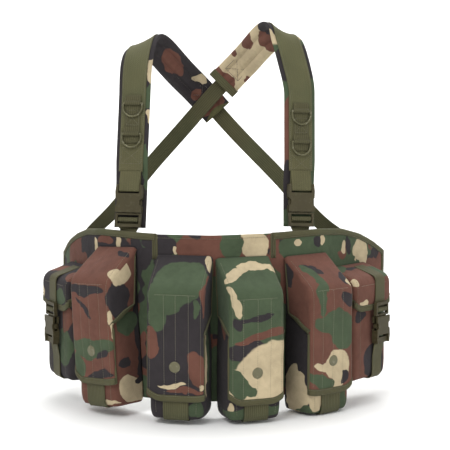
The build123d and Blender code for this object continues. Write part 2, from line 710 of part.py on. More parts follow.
waist_frame = Plane(origin=WAIST_MOUTH, x_dir=(0, 0, 1), z_dir=(0, 1, 0))
socket, plug, prong_a, prong_b = buckle(waist_frame, NARROW_BUCKLE_W)
save(socket, "waist_buckle_socket")
save(plug, "waist_buckle_plug")
save(prong_a, "waist_buckle_prong_a")
save(prong_b, "waist_buckle_prong_b")


def wing_spot(frame, back):
    """A place on the lining near a wing's rear edge."""
    return frame.from_local_coords(Vector(back, PANEL_T + LINING_T + WEB_T + 0.2, WAIST_MOUTH.Z))


upright = (0, 0, 1)
right_tip, left_tip = FRAMES["tip_right"], FRAMES["tip_left"]
join = BUCKLE_BAR[1] + 20
with BuildPart() as waist_strap_left:
    joined = waist_frame.from_local_coords(Vector(0, join, 0))
    points = [joined, (110, 287, 0), (190, 268, 0), (248, 238, 0)]
    points += [wing_spot(left_tip, 10), wing_spot(left_tip, -24)]
    planes = curve_sections(points, [upright] * 6, (1, 0, 0), -left_tip.x_dir)
    add(level_ribbon(planes, WAIST_WEB, 0, WEB_T))
    add(bar_loop(waist_frame, WAIST_WEB, join + 0.5))
save(waist_strap_left.part, "waist_strap_left")

with BuildPart() as waist_strap_right:
    joined = waist_frame.from_local_coords(Vector(0, -22, -3.1))
    points = [joined, (-110, 281, 0), (-180, 262, 0), (-226, 240, 0)]
    points += [wing_spot(right_tip, -8), wing_spot(right_tip, 22)]
    planes = curve_sections(points, [upright] * 6, (-1, 0, 0), right_tip.x_dir)
    add(level_ribbon(planes, WAIST_WEB, -WEB_T, 0))
    add(ladder_loop(waist_frame, WAIST_WEB))
save(waist_strap_right.part, "waist_strap_right")
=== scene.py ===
import json
from math import atan2, cos, pi, radians, sin

import bmesh
import bpy
import numpy as np
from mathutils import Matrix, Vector, noise


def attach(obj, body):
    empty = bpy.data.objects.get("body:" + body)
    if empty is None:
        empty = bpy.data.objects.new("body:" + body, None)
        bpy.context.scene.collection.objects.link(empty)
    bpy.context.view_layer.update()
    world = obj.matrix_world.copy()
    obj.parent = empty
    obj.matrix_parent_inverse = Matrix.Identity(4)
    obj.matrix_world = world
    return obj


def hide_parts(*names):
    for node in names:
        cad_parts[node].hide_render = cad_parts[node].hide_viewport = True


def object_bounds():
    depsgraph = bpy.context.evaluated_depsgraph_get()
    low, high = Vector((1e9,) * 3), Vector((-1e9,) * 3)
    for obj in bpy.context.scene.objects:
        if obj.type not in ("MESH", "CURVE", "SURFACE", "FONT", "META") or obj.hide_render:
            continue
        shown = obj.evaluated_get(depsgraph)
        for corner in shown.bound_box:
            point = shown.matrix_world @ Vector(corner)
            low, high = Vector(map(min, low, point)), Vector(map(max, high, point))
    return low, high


# Looks for the chest rig. Shapes are worked out in millimetres in the CAD frame, and made in metres.
# +X is the wearer's left, -Y is the front and +Z is up.

MM = 0.001
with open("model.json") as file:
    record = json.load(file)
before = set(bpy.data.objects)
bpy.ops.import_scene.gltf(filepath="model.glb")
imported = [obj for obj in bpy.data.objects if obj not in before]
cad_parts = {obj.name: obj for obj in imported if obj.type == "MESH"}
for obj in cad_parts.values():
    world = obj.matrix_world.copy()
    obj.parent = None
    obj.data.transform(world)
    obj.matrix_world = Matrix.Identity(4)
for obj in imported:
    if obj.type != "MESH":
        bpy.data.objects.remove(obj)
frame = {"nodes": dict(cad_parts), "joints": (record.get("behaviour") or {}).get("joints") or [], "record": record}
CAD_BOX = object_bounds()
JOINTS = {joint["name"]: joint for joint in frame["joints"]}
BODY_OF = {node: body for body, nodes in frame["record"]["behaviour"]["bodies"].items() for node in nodes}

# ---------------------------------------------------------------- driving dimensions, in millimetres

PANEL_TOP = 122.0
PANEL_BOTTOM = -125.0
PANEL_T = 4.0
LINING_T = 2.0
BEND_R = 12.0
MIDDLE_SEAM = (-6.0, 0.0)
# Straight runs of the wrap outwards from the middle seam: length, degrees turned towards the wearer
LEFT_RUNS = [(88.0, 20.0), (22.0, 29.0), (90.0, 38.0), (105.0, 50.0), (60.0, 55.0)]
RIGHT_RUNS = [(88.0, 12.0), (22.0, 27.0), (98.0, 42.0), (105.0, 60.0), (50.0, 70.0)]
# How far the wings' top and bottom edges have moved, at each distance back
WING_TOP = ([-30, 90, 130, 165, 200, 233], [0, 0, -4, -15, -32, -52])
WING_BOTTOM = ([-30, 60, 110, 150, 200, 233], [0, 0, 6, 18, 44, 68])

CLOTH_T = 1.8
TAPE_T = 0.9
HINGE_BACK = 2.4  # a lid hinge's distance in front of the wrap

# A pouch's heights are from its own level 0, which lies "hinge" below its lid's hinge. crown and crease are
# how far the lid swells and creases, and tuck is how far its lower edge is drawn in. The tub is full below
# full_below.
MAG = {"width": 80.0, "depth": 58.0, "bottom": -141.0, "mouth_back": 84.0, "mouth_front": 42.0,
       "hinge": 91.0, "fold": 47.0, "ear_front": -18.0, "ear_back": 8.0,
       "crown": 2.6, "crease": 1.1, "tuck": 0.0, "full_below": -30.0}
SIDE = {"width": 90.0, "depth": 46.0, "bottom": -113.0, "mouth_back": 52.0, "mouth_front": 38.0,
        "hinge": 60.0, "fold": 44.0, "lid_bottom": -4.0, "ear_front": 4.0, "ear_back": 18.0,
        "crown": 0.8, "crease": 0.5, "tuck": 2.0, "full_below": -10.0}
LID_BOTTOM = {"pouch_1": -106.0, "pouch_2": -112.0, "pouch_3": -116.0, "pouch_4": -110.0}
# How far each lid's lower corners are cut up, on its right-hand and left-hand side for the wearer
LID_CORNERS = {"pouch_1": (14.0, 2.0), "pouch_2": (10.0, 2.0),
               "pouch_3": (10.0, 8.0), "pouch_4": (2.0, 10.0)}
# Distance of the row of stitching across each lid below its fold
ACROSS_ROW = {"pouch_1": 2.0, "pouch_2": 4.0, "pouch_3": 6.0, "pouch_4": 0.5}
LID_STAND = 4.4  # from a pouch's front to the middle of its lid's cloth
STRIP_W = 38.0
STRIP_TOP = -42.0
SNAP_Z = {"pouch_1": -54.0, "pouch_2": -60.0, "pouch_3": -65.0, "pouch_4": -57.0}
SNAP_R = 8.3

WIDE_WEB = 38.0
NARROW_WEB = 25.0
WEB_T = 1.5
PAD_W = 50.0
PAD_T = 7.0
BUCKLE_BAR = (33.0, 42.0)
BAR_T = 5.0
FRONT_BUCKLE_W = 41.0
SIDE_STRAP_X = {"right": 0.0, "left": 14.0}
SIDE_BUCKLE_Z = -15.0
SIDE_BUCKLE_STAND = 9.8  # from a side pouch's front to the middle of its buckle
FRONT_RUN = {
    "right": ((-136, 61, 124), (-128, 92, 325), -14.0),
    "left": ((125, 74, 124), (125, 102, 325), 18.0),
}
OVER_SHOULDER = {
    "right": (
        [(-125, 104, 378), (-116, 133, 407), (-72, 206, 372), (-30, 263, 327), (-2, 268, 296)],
        [(0.98, -0.15, 0.1), (0.9, 0, 0.42), (0.7, 0, 0.72), (0.69, 0, 0.72), (0.69, 0, 0.72)],
    ),
    "left": (
        [(116, 112, 376), (99, 136, 423), (60, 203, 398), (28, 246, 364), (4, 250, 340)],
        [(0.97, 0.15, -0.15), (0.87, 0, -0.48), (0.7, -0.3, -0.62), (0.68, -0.1, -0.72), (0.69, 0, -0.72)],
    ),
}
BACK_PATHS = {
    "right": (
        [(-18, 252, 316), (-60, 251, 268), (-119, 242, 201), (-186, 226, 123), (-227, 211, 76),
         (-231, 196, 45)],
        [(0.73, 0, -0.7), (0.75, 0, -0.66), (0.72, 0.1, -0.66), (0.45, 0.4, -0.7), (-0.1, 0.6, -0.7),
         (-0.24, 0.67, -0.7)],
    ),
    "left": (
        [(14, 270, 278), (56, 265, 234), (113, 248, 175), (182, 228, 106), (232, 216, 66), (238, 200, 40)],
        [(0.71, 0, 0.7), (0.71, 0, 0.7), (0.71, 0, 0.7), (0.45, -0.3, 0.7), (-0.2, -0.5, 0.7),
         (-0.41, -0.58, 0.71)],
    ),
}
RING_AT = {"right": (267.0, 313.0), "left": (255.0, 301.0)}
BUCKLE_MOUTH = 150.0
PANEL_FACE = {"right": -42.0, "left": 38.0}
WAIST_MOUTH = (0.0, 292.0, 0.0)
# Webbing through a plug's ladder bars, as (along the buckle, outwards)
LADDER_PATH = [(-24, -3.85), (-7.65, -3.85), (-7.65, 2.45), (-13.15, 2.45), (-13.15, -2.9)]
LOOP_SEAM = BUCKLE_BAR[1] + 20  # how far from its mouth a socket's webbing loop is sewn shut

# ---------------------------------------------------------------- colours and materials

COLOURS = {
    "black": (0.027, 0.023, 0.025),
    "brown": (0.118, 0.050, 0.035),
    "green": (0.052, 0.074, 0.040),
    "cream": (0.440, 0.360, 0.230),
    "olive": (0.082, 0.080, 0.034),
}


def mixed(a, b, share):
    return tuple(x * (1 - share) + y * share for x, y in zip(a, b))


class Finish:
    """A node material: a principled shader with helpers for its procedural colour and bump."""

    def __init__(self, name, roughness, metallic=0.0, sheen=0.0, specular=0.4):
        self.material = bpy.data.materials.new(name)
        self.material.use_nodes = True
        self.tree = self.material.node_tree
        self.shader = self.tree.nodes["Principled BSDF"]
        for socket, value in (("Roughness", roughness), ("Metallic", metallic), ("Sheen Weight", sheen),
                              ("Sheen Roughness", 0.6), ("Specular IOR Level", specular)):
            self.shader.inputs[socket].default_value = value

    def node(self, kind, settings=None, **inputs):
        node = self.tree.nodes.new("ShaderNode" + kind)
        for key, value in (settings or {}).items():
            setattr(node, key, value)
        for key, value in inputs.items():
            self.put(value, node.inputs[key.replace("_", " ")])
        return node

    def put(self, value, socket):
        if isinstance(value, bpy.types.NodeSocket):
            self.tree.links.new(value, socket)
        else:
            socket.default_value = value

    def math(self, operation, *values, kind="Math"):
        node = self.node(kind, {"operation": operation})
        for value, socket in zip(values, node.inputs):
            self.put(value, socket)
        return node.outputs["Value"] if operation == "LENGTH" else node.outputs[0]

    def vector(self, operation, *values):
        return self.math(operation, *values, kind="VectorMath")

    def total(self, *pairs, plus=None):
        """The sum of each value times its weight, and a constant."""
        level = None
        for value, weight in pairs:
            product = self.math("MULTIPLY", value, weight)
            level = product if level is None else self.math("ADD", level, product)
        return level if plus is None else self.math("ADD", level, plus)

    def ribs(self, coordinate, pitch_mm):
        """A wave along one cloth coordinate."""
        return self.math("SINE", self.math("MULTIPLY", coordinate, 100.0 / pitch_mm * 2 * pi))

    def mix(self, share, low, high):
        node = self.node("Mix", {"data_type": "RGBA"})
        self.put(share, node.inputs["Factor"])
        sockets = [s for s in node.inputs if s.type == "RGBA"]
        for value, socket in ((low, sockets[0]), (high, sockets[1])):
            self.put((*value, 1.0) if isinstance(value, tuple) else value, socket)
        return [s for s in node.outputs if s.type == "RGBA"][0]

    def scaled(self, value, amount):
        """Multiplies a vector or a colour by one number."""
        node = self.node("VectorMath", {"operation": "SCALE"}, Scale=amount)
        self.put(value, node.inputs[0])
        return node.outputs["Vector"]

    def noise(self, vector, scale, detail=2.0, distortion=0.0, w=None, output="Fac"):
        settings = {"noise_dimensions": "4D"} if w is not None else {}
        node = self.node("TexNoise", settings, Vector=vector, Scale=scale, Detail=detail,
                         Distortion=distortion)
        if w is not None:
            node.inputs["W"].default_value = w
        return node.outputs[output]

    def above(self, value, low, soft=0.02):
        """0 below a threshold and 1 above it, with a narrow soft edge."""
        node = self.node("MapRange", {"interpolation_type": "SMOOTHSTEP"}, Value=value)
        node.inputs["From Min"].default_value = low - soft
        node.inputs["From Max"].default_value = low + soft
        return node.outputs[0]

    def bump(self, height, distance_mm, strength=1.0, under=None):
        node = self.node("Bump", {}, Height=height)
        node.inputs["Distance"].default_value = distance_mm * MM
        node.inputs["Strength"].default_value = strength
        if under is not None:
            self.put(under, node.inputs["Normal"])
        return node.outputs[0]

    def cloth_map(self):
        """Millimetres across and along the cloth, divided by 100."""
        return self.node("UVMap", {"uv_map": "cloth"}).outputs["UV"]

    def solid_map(self):
        return self.node("TexCoord").outputs["Object"]

    def split(self, place):
        """The across and along parts of a place."""
        return self.node("SeparateXYZ", {}, Vector=place).outputs[:2]

    def done(self, colour, normal):
        self.put(colour, self.shader.inputs["Base Color"])
        self.put(normal, self.shader.inputs["Normal"])
        return self.material


# The loose print under the placed patches, in order: colour, noise scale and noise seed
LOOSE_PRINT = (("brown", 1.5, 3.1), ("black", 1.9, 7.7), ("cream", 2.1, 11.9))
LOOSE_LEVELS = {"brown": 0.55, "black": 0.60}
PRINT_WANDER = 0.36  # how far noise moves the patches' outlines, in 100 mm
PRINT_EDGE = 0.03  # half of a placed patch's soft edge, as a share of its size
WEAVE_PITCH = 1.5  # in millimetres


def camo(name, patches, seed, loose=True, cream=0.68):
    """Printed woodland cloth: placed patches over a loose pattern, on a fine woven ground.

    A patch is (colour, across, along, half width, half length, turn in degrees), in millimetres of cloth.
    cream is the loose pattern's threshold for cream: the higher it is, the less cream there is.
    """
    finish = Finish(name, roughness=0.85, sheen=0.03, specular=0.18)
    place = finish.cloth_map()
    wander = finish.noise(place, 2.6, 3.0, w=seed, output="Color")
    shift = finish.scaled(finish.vector("SUBTRACT", wander, (0.5, 0.5, 0.5)), PRINT_WANDER)
    warped = finish.vector("ADD", place, shift)
    colour = COLOURS["green"]
    for other, scale, w in LOOSE_PRINT if loose else ():
        field = finish.noise(warped, scale, 1.0, w=seed + w)
        inside = finish.above(field, LOOSE_LEVELS.get(other, cream), 0.006)
        colour = finish.mix(inside, colour, COLOURS[other])
    for other, u, v, half_u, half_v, turn in patches:
        spot = finish.node("Mapping", {"vector_type": "TEXTURE"}, Vector=warped)
        spot.inputs["Location"].default_value = (u / 100, v / 100, 0)
        spot.inputs["Rotation"].default_value = (0, 0, radians(turn))
        spot.inputs["Scale"].default_value = (half_u / 100, half_v / 100, 1)
        reach = finish.vector("LENGTH", spot.outputs[0])
        inside = finish.math("SUBTRACT", 1.0, finish.above(reach, 1.0, PRINT_EDGE))
        colour = finish.mix(inside, colour, COLOURS[other])
    shade = finish.noise(place, 2.2, 4.0, w=seed + 20)
    speckle = finish.noise(place, 95.0, 1.0)
    # A small, wrinkled noise darkens and lightens the print: partly painted crease shade, partly wear.
    crease_shade_and_wear = finish.noise(place, 9.0, 5.0, distortion=0.6)
    level = finish.total((shade, 0.55), (speckle, 0.30), (crease_shade_and_wear, 0.45), plus=0.38)
    weave = finish.math("MULTIPLY", *(finish.ribs(part, 2 * WEAVE_PITCH) for part in finish.split(place)))
    worn = finish.noise(place, 30.0, 4.0)
    crumple = finish.noise(place, 4.5, 3.0, distortion=1.0, w=seed + 9)
    normal = finish.bump(worn, 0.35, 0.5, finish.bump(weave, 0.16, 0.6))
    return finish.done(finish.scaled(colour, level), finish.bump(crumple, 3.0, 0.45, normal))


def webbing(name, colour, rib_mm, tone, cords=0.4, painted_rib_shade=0.16):
    """Woven nylon webbing: ribs across it, a herringbone along it, painted shade between its ribs, and soft
    changes of shade.
    """
    finish = Finish(name, roughness=0.75, sheen=0.03, specular=0.22)
    place = finish.cloth_map()
    across, along = finish.split(place)
    skew = finish.math("MULTIPLY", finish.math("PINGPONG", across, 0.05), 0.9)
    rib = finish.ribs(finish.math("ADD", along, skew), rib_mm)
    cord = finish.ribs(across, rib_mm / 0.75)
    height = finish.total((rib, 1 - cords), (cord, cords))
    shade = finish.noise(place, 1.8, 4.0)
    fleck = finish.noise(place, 110.0, 1.0)
    # The ribs' height also sets the colour: painted shade, darker in the grooves between the ribs.
    level = finish.total((shade, 0.8), (fleck, 0.35), (height, painted_rib_shade), plus=0.42)
    base = tuple(channel * tone for channel in colour)
    warm = finish.noise(place, 0.9, w=4.0)
    tinted = finish.mix(warm, mixed(base, COLOURS["green"], 0.45), mixed(base, COLOURS["brown"], 0.18))
    return finish.done(finish.scaled(tinted, level), finish.bump(height, 0.28, 0.7))


def hard(name, colour, roughness, metallic=0.0, grain=0.5, wear=0.0, specular=0.5):
    """Moulded plastic or painted metal: fine grain, faint blotches, and paler rubbed spots."""
    finish = Finish(name, roughness=roughness, metallic=metallic, specular=specular)
    place = finish.solid_map()
    blotch = finish.noise(place, 60.0, 4.0)
    rubbed = finish.above(finish.noise(place, 240.0, 3.0), 0.62, 0.08)
    tinted = finish.mix(finish.math("MULTIPLY", rubbed, wear), colour, mixed(colour, (0.5, 0.48, 0.38), 0.5))
    fine = finish.noise(place, 1400.0)
    level = finish.total((blotch, 0.4), plus=0.8)
    return finish.done(finish.scaled(tinted, level), finish.bump(fine, 0.08, grain))


def thread(name, colour):
    finish = Finish(name, roughness=0.6, sheen=0.2)
    twist = finish.noise(finish.solid_map(), 900.0, 1.0)
    level = finish.total((twist, 0.5), plus=0.75)
    return finish.done(finish.scaled(colour, level), finish.bump(twist, 0.1, 0.5))


LID_PATCHES = {
    "pouch_1": [
        ("brown", 0, 40, 120, 200, 0), ("black", -8, 37, 40, 8, -4), ("black", -14, 12, 24, 4, -42),
        ("green", 4, -52, 46, 15, 0), ("green", -30, -80, 12, 18, 0), ("black", 12, -92, 26, 7, 4),
        ("black", 26, -64, 14, 7, 10), ("cream", 42, -18, 5, 20, 5), ("cream", 62, 62, 28, 19, -25),
        ("black", 60, 18, 24, 26, 0), ("cream", -44, 60, 3.5, 26, 0), ("black", 30, 108, 14, 6, -20),
    ],
    "pouch_2": [
        ("black", 0, 0, 120, 260, 0), ("green", 6, 70, 42, 38, -30), ("green", -24, 16, 17, 28, 0),
        ("green", -32, 34, 12, 32, 0),
        ("green", -6, 36, 16, 14, 0), ("green", 33, 25, 5, 12, 0), ("brown", 48, 50, 8, 40, 0),
        ("brown", -36, -32, 14, 24, -15), ("brown", 32, -66, 12, 28, 20), ("cream", -8, -89, 24, 3.6, 4),
        ("cream", 38, -90, 4, 4, 0), ("brown", 14, -96, 28, 4, 0), ("cream", 41, 106, 9, 14, 25),
    ],
    "pouch_3": [
        ("green", 0, 0, 120, 260, 0), ("cream", -22, 84, 22, 8, 38), ("cream", 8, 101, 30, 8.5, 6),
        ("cream", 38, 95, 10, 7, -25), ("cream", -37, 50, 5, 14, 0), ("cream", -31, 30, 8, 12, 25),
        ("black", 0, 16, 30, 5, 4), ("black", -30, 8, 9, 9, 0), ("black", -20, -38, 30, 14, 18),
        ("brown", 6, -15, 42, 7, 16), ("cream", 27, -88, 96, 60, 30), ("green", -34, -88, 22, 17, -40),
        ("green", -18, -95, 14, 7, -10),
    ],
    "pouch_4": [
        ("brown", 0, 40, 120, 200, 0), ("black", -14, 90, 18, 7, -32), ("green", -19, 72, 8, 30, 14),
        ("green", -22, 36, 7, 20, 0), ("black", 36, 66, 7, 14, 0), ("black", 34, 34, 14, 10, 0),
        ("cream", 46, 58, 9, 9, 0), ("green", 6, -4, 40, 22, -8), ("green", 18, -26, 26, 16, 0),
        ("brown", -26, -50, 16, 26, 6), ("cream", 12, -66, 24, 24, 10), ("cream", -14, -66, 20, 7, -10),
        ("cream", 10, -90, 12, 12, 0), ("black", 24, -84, 9, 7, 30), ("green", -22, -90, 24, 12, -12),
        ("black", -92, 66, 12, 22, 0),
    ],
}
TUB_PATCHES = {
    "pouch_1": [
        ("brown", 40, 0, 200, 260, 0), ("black", 96, -40, 16, 90, 0), ("green", 66, -18, 24, 18, 0),
        ("black", 58, -78, 14, 7, 0), ("cream", 66, -114, 24, 20, -10), ("cream", 84, -128, 14, 9, 0),
        ("black", 88, -104, 12, 6, 20), ("brown", 10, -125, 24, 10, 0), ("cream", 20, -136, 26, 3, 0),
    ],
    "pouch_2": [
        ("black", 0, 0, 200, 260, 0), ("cream", 54, -62, 13, 52, 0), ("green", 30, -128, 16, 14, 0),
        ("green", 66, -60, 9, 50, 0), ("brown", 52, 20, 12, 40, 0), ("green", -56, -20, 12, 60, 0),
        ("black", 60, -100, 10, 12, 0),
    ],
    "pouch_3": [
        ("black", 0, 0, 200, 260, 0), ("cream", -37, -118, 6, 9, 0), ("green", 0, -130, 60, 10, 0),
        ("brown", -62, 10, 14, 40, 0), ("green", 64, -40, 14, 60, 0),
    ],
    "pouch_4": [
        ("black", -60, 0, 90, 200, 0), ("cream", -64, -104, 26, 36, 6), ("black", -46, -70, 10, 14, 0),
        ("brown", 60, -40, 40, 90, 0), ("green", 0, -134, 60, 6, 0), ("cream", -30, -118, 14, 18, 0),
    ],
    "side_pouch_right": [
        ("black", 0, 0, 240, 260, 0), ("brown", -40, 10, 18, 24, 0), ("green", 20, -60, 24, 30, 0),
        ("brown", 30, -10, 14, 30, 0), ("cream", -60, -50, 8, 18, 0),
    ],
    "side_pouch_left": [
        ("brown", 0, 0, 240, 260, 0), ("black", 10, -88, 26, 30, 20), ("black", -22, -12, 14, 8, 0),
        ("green", 26, -40, 16, 34, 0), ("green", 70, -40, 22, 40, 0), ("cream", 96, -30, 8, 16, 0),
    ],
}
SIDE_LID_PATCHES = {
    "side_pouch_right": [
        ("black", 0, 40, 160, 160, 0), ("brown", -26, 70, 20, 12, 10), ("green", 24, 20, 18, 14, 0),
        ("brown", 40, 60, 12, 14, 0), ("cream", -44, 20, 5, 10, 0),
    ],
    "side_pouch_left": [
        ("brown", 0, 40, 160, 160, 0), ("cream", -43, 50, 9, 8, 0), ("cream", -24, 10, 8, 9, 20),
        ("green", 36, 62, 16, 16, 0), ("black", -8, 78, 18, 5, 0), ("green", -30, 84, 16, 6, 10),
    ],
}
PANEL_PATCHES = [
    ("black", -84, 108, 29, 22, 0), ("cream", -59, 100, 4, 8, 20), ("brown", -22, 104, 36, 24, 0),
    ("black", -30, 116, 10, 5, 0), ("green", 26, 104, 20, 24, 0), ("cream", 62, 106, 19, 26, 4),
    ("brown", 92, 104, 9, 24, 0), ("green", 170, 100, 72, 26, 0), ("cream", 133, 102, 7, 7, 0),
    ("cream", 188, 105, 5, 8, 15), ("black", 178, 104, 8, 10, 10), ("cream", 240, 95, 5, 11, 0),
    ("black", 252, 96, 6, 16, 10), ("cream", 286, 77, 24, 14, -22), ("cream", 296, 61, 12, 14, 0),
    ("brown", 320, 40, 20, 26, 0), ("green", 322, -20, 24, 30, 0), ("black", -190, 96, 56, 24, 0),
    ("cream", -164, 104, 5, 11, -12), ("black", -245, 100, 26, 26, 0), ("cream", -221, 96, 5, 13, 8),
    ("brown", -196, 104, 20, 9, 0),
    ("brown", -262, 60, 22, 26, 0), ("black", -300, 20, 26, 40, 0), ("green", -330, -10, 22, 40, 0),
]
PAD_PATCHES = {
    "right": [
        ("black", 0, 300, 80, 400, 0), ("brown", 2, 380, 13, 32, 10), ("brown", -16, 316, 10, 26, 0),
        ("cream", 14, 452, 7, 14, -20), ("brown", -6, 470, 12, 12, 0), ("brown", 0, 502, 26, 14, 0),
        ("olive", 0, 519, 30, 6, 0), ("cream", 24, 238, 7, 25, 0), ("green", 24, 198, 8, 18, 0),
        ("cream", 24, 166, 6, 12, 0), ("green", 24, 90, 8, 34, 0),
    ],
    "left": [
        ("cream", 0, 400, 80, 120, 0), ("brown", 10, 345, 20, 26, 20), ("black", -12, 322, 18, 24, 0),
        ("brown", -14, 392, 12, 13, -30), ("brown", 22, 452, 6, 9, 0), ("brown", 0, 484, 34, 12, 12),
        ("brown", -22, 138, 8, 66, 0), ("black", -20, 60, 10, 40, 0), ("brown", -20, 430, 5, 8, 0),
        ("black", 8, 250, 40, 30, 0),
    ],
}
MATERIALS = {
    "webbing": webbing("olive_webbing_face", COLOURS["olive"], 2.8, 1.15),
    "narrow": webbing("narrow_webbing_face", COLOURS["olive"], 2.3, 0.82, 0.75, 0.26),
    "tape": webbing("binding_tape_face", COLOURS["olive"], 1.6, 0.90),
    "lining": webbing("lining_face", mixed(COLOURS["black"], COLOURS["olive"], 0.5), 1.2, 0.9),
    "plastic": hard("buckle_plastic_face", (0.050, 0.042, 0.020), 0.5, grain=0.3, wear=0.05, specular=0.2),
    "steel": hard("ring_steel_face", (0.10, 0.095, 0.05), 0.38, metallic=0.65, wear=0.4),
    "snap": hard("snap_metal_face", (0.12, 0.112, 0.062), 0.45, metallic=0.3, wear=0.3),
    "thread": thread("olive_thread", (0.105, 0.100, 0.050)),
    "pale_thread": thread("pale_thread", (0.190, 0.175, 0.105)),
    "dark_thread": thread("dark_thread", (0.045, 0.032, 0.022)),
    "panel": camo("panel_cloth", PANEL_PATCHES, seed=2.0, cream=0.71),
}

# ---------------------------------------------------------------- shape helpers


def unit(vectors):
    vectors = np.asarray(vectors, float)
    return vectors / np.maximum(np.linalg.norm(vectors, axis=-1, keepdims=True), 1e-9)


class Place:
    """A right-handed set of axes at a point, in millimetres."""

    def __init__(self, origin, x, y, z):
        self.origin = np.array(origin, float)
        self.x, self.y, self.z = unit(x), unit(y), unit(z)

    def at(self, points):
        points = np.asarray(points, float)
        return self.origin + points[..., :1] * self.x + points[..., 1:2] * self.y + points[..., 2:3] * self.z


def hinge_place(joint_name, hinge_height):
    """A pouch's own axes, found from its lid's hinge: X along the wrap, Y to the wearer, Z up the pouch."""
    joint = JOINTS[joint_name]
    x = -np.array(joint["axis"], float)
    y = unit(np.array([-x[1], x[0], 0.0]))
    z = np.cross(x, y)
    pivot = np.array(joint["pos_m"], float) / MM
    return Place(pivot + y * HINGE_BACK - z * hinge_height, x, y, z)


def rounded(points, radius, step=4.0):
    """Points along a polyline whose corners are rounded, no more than step apart."""
    points = [np.array(p, float) for p in points]
    knots = [points[0]]
    for before, corner, after in zip(points, points[1:], points[2:]):
        into, out = corner - before, after - corner
        cut = min(radius, 0.45 * np.linalg.norm(into), 0.45 * np.linalg.norm(out))
        first, last = corner - unit(into) * cut, corner + unit(out) * cut
        bends = max(3, int(cut * 1.6 / step) + 2)
        for share in np.linspace(0, 1, bends + 1):
            knots.append(first * (1 - share) ** 2 + corner * 2 * share * (1 - share) + last * share**2)
    knots.append(points[-1])
    line = [knots[0]]
    for a, b in zip(knots, knots[1:]):
        pieces = max(1, int(np.ceil(np.linalg.norm(b - a) / step)))
        line += [a + (b - a) * i / pieces for i in range(1, pieces + 1)]
    keep = [line[0]]
    for point in line[1:]:
        if np.linalg.norm(point - keep[-1]) > 1e-3:
            keep.append(point)
    return np.array(keep)


def run_length(points):
    """Distance along a line of points, from its start."""
    steps = np.linalg.norm(np.diff(points, axis=0), axis=1)
    return np.concatenate([[0.0], np.cumsum(steps)])


def smooth_line(points, start, end, step=4.5):
    """A smooth curve through points with set end directions, and how far along the list each sample lies."""
    points = np.array(points, float)
    gaps = np.linalg.norm(np.diff(points, axis=0), axis=1)
    count = len(points)
    system, right = np.eye(count), np.zeros((count, 3))
    right[0], right[-1] = unit(start), unit(end)
    for i in range(1, count - 1):
        before, after = gaps[i - 1], gaps[i]
        system[i, i - 1 : i + 2] = (after, 2 * (before + after), before)
        rise = after * (points[i] - points[i - 1]) / before + before * (points[i + 1] - points[i]) / after
        right[i] = 3 * rise
    slopes = np.linalg.solve(system, right)
    line, shares = [], []
    for i, gap in enumerate(gaps):
        pieces = max(2, int(round(gap / step)))
        for k in range(pieces + (i == len(gaps) - 1)):
            t = k / pieces
            a, b = 2 * t**3 - 3 * t**2 + 1, t**3 - 2 * t**2 + t
            c, d = -2 * t**3 + 3 * t**2, t**3 - t**2
            line.append(a * points[i] + b * gap * slopes[i] + c * points[i + 1] + d * gap * slopes[i + 1])
            shares.append(i + t)
    return np.array(line), np.array(shares)


class Sections:
    """Stations along a strap: where each is, the direction of its width, and the direction to the wearer."""

    def __init__(self, line, across):
        self.line = np.array(line, float)
        along = unit(np.gradient(self.line, axis=0))
        across = np.asarray(across, float)
        self.x = unit(across - along * (across * along).sum(-1, keepdims=True))
        self.inward = np.cross(along, self.x)

    @classmethod
    def known(cls, line, x, inward):
        """Stations whose directions are known already."""
        sections = cls.__new__(cls)
        sections.line, sections.x, sections.inward = (np.array(part) for part in (line, x, inward))
        return sections

    def at(self, x, depth):
        """Points at a distance across and inwards, one for each station."""
        return self.line + self.x * np.reshape(x, (-1, 1)) + self.inward * np.reshape(depth, (-1, 1))


def curve(points, across, start, end, step=4.5):
    line, shares = smooth_line(points, start, end, step)
    across = np.array(across, float)
    spread = np.stack([np.interp(shares, range(len(across)), across[:, k]) for k in range(3)], axis=1)
    return Sections(line, spread)


def joined(*parts):
    """One run of stations from several that follow each other."""
    keys = ("line", "x", "inward")
    return Sections.known(*(np.concatenate([getattr(part, key) for part in parts]) for key in keys))


def wave(points, size, seed=0.0):
    """A soft pseudo-random value for each point, about -1 to 1, for creases size millimetres apart."""
    flat = np.asarray(points, float).reshape(-1, 3) / size
    values = [noise.noise(Vector((x + seed, y - seed, z + 2 * seed))) for x, y, z in flat]
    return np.array(values).reshape(np.shape(points)[:-1]) * 1.6


# ---------------------------------------------------------------- meshes


def make(name, verts, faces, material, body, uvs, nodes=()):
    """A mesh piece from millimetre points. uvs holds one millimetre pair for each corner of each face."""
    mesh = bpy.data.meshes.new(name)
    mesh.from_pydata((np.asarray(verts, float) * MM).tolist(), [], faces)
    layer = mesh.uv_layers.new(name="cloth")
    layer.data.foreach_set("uv", (np.asarray(uvs, float) / 100.0).ravel())
    build = bmesh.new()
    build.from_mesh(mesh)
    bmesh.ops.recalc_face_normals(build, faces=build.faces)
    return settled(build, mesh, name, material, body, nodes, smooth=True)


def settled(build, mesh, name, material, body, nodes, smooth):
    """Writes a bmesh into a mesh, and makes it a piece of the scene."""
    build.to_mesh(mesh)
    build.free()
    mesh.polygons.foreach_set("use_smooth", [smooth] * len(mesh.polygons))
    mesh.materials.clear()
    mesh.materials.append(material)
    piece = bpy.data.objects.new(name, mesh)
    bpy.context.scene.collection.objects.link(piece)
    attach(piece, body)
    if nodes:
        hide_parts(*nodes)
    return piece


class Shape:
    """Vertices, faces and cloth places gathered from several closed surfaces of one piece."""

    def __init__(self):
        self.verts, self.faces, self.uvs, self.count = [], [], [], 0

    def add(self, verts, faces, uvs):
        verts = np.asarray(verts, float).reshape(-1, 3)
        self.verts.append(verts)
        self.faces += [tuple(int(i) + self.count for i in face) for face in faces]
        self.uvs += uvs
        self.count += len(verts)

    def piece(self, name, material, body, slot, nodes=()):
        return make(name, np.concatenate(self.verts), self.faces, material, body, self.uvs, nodes)


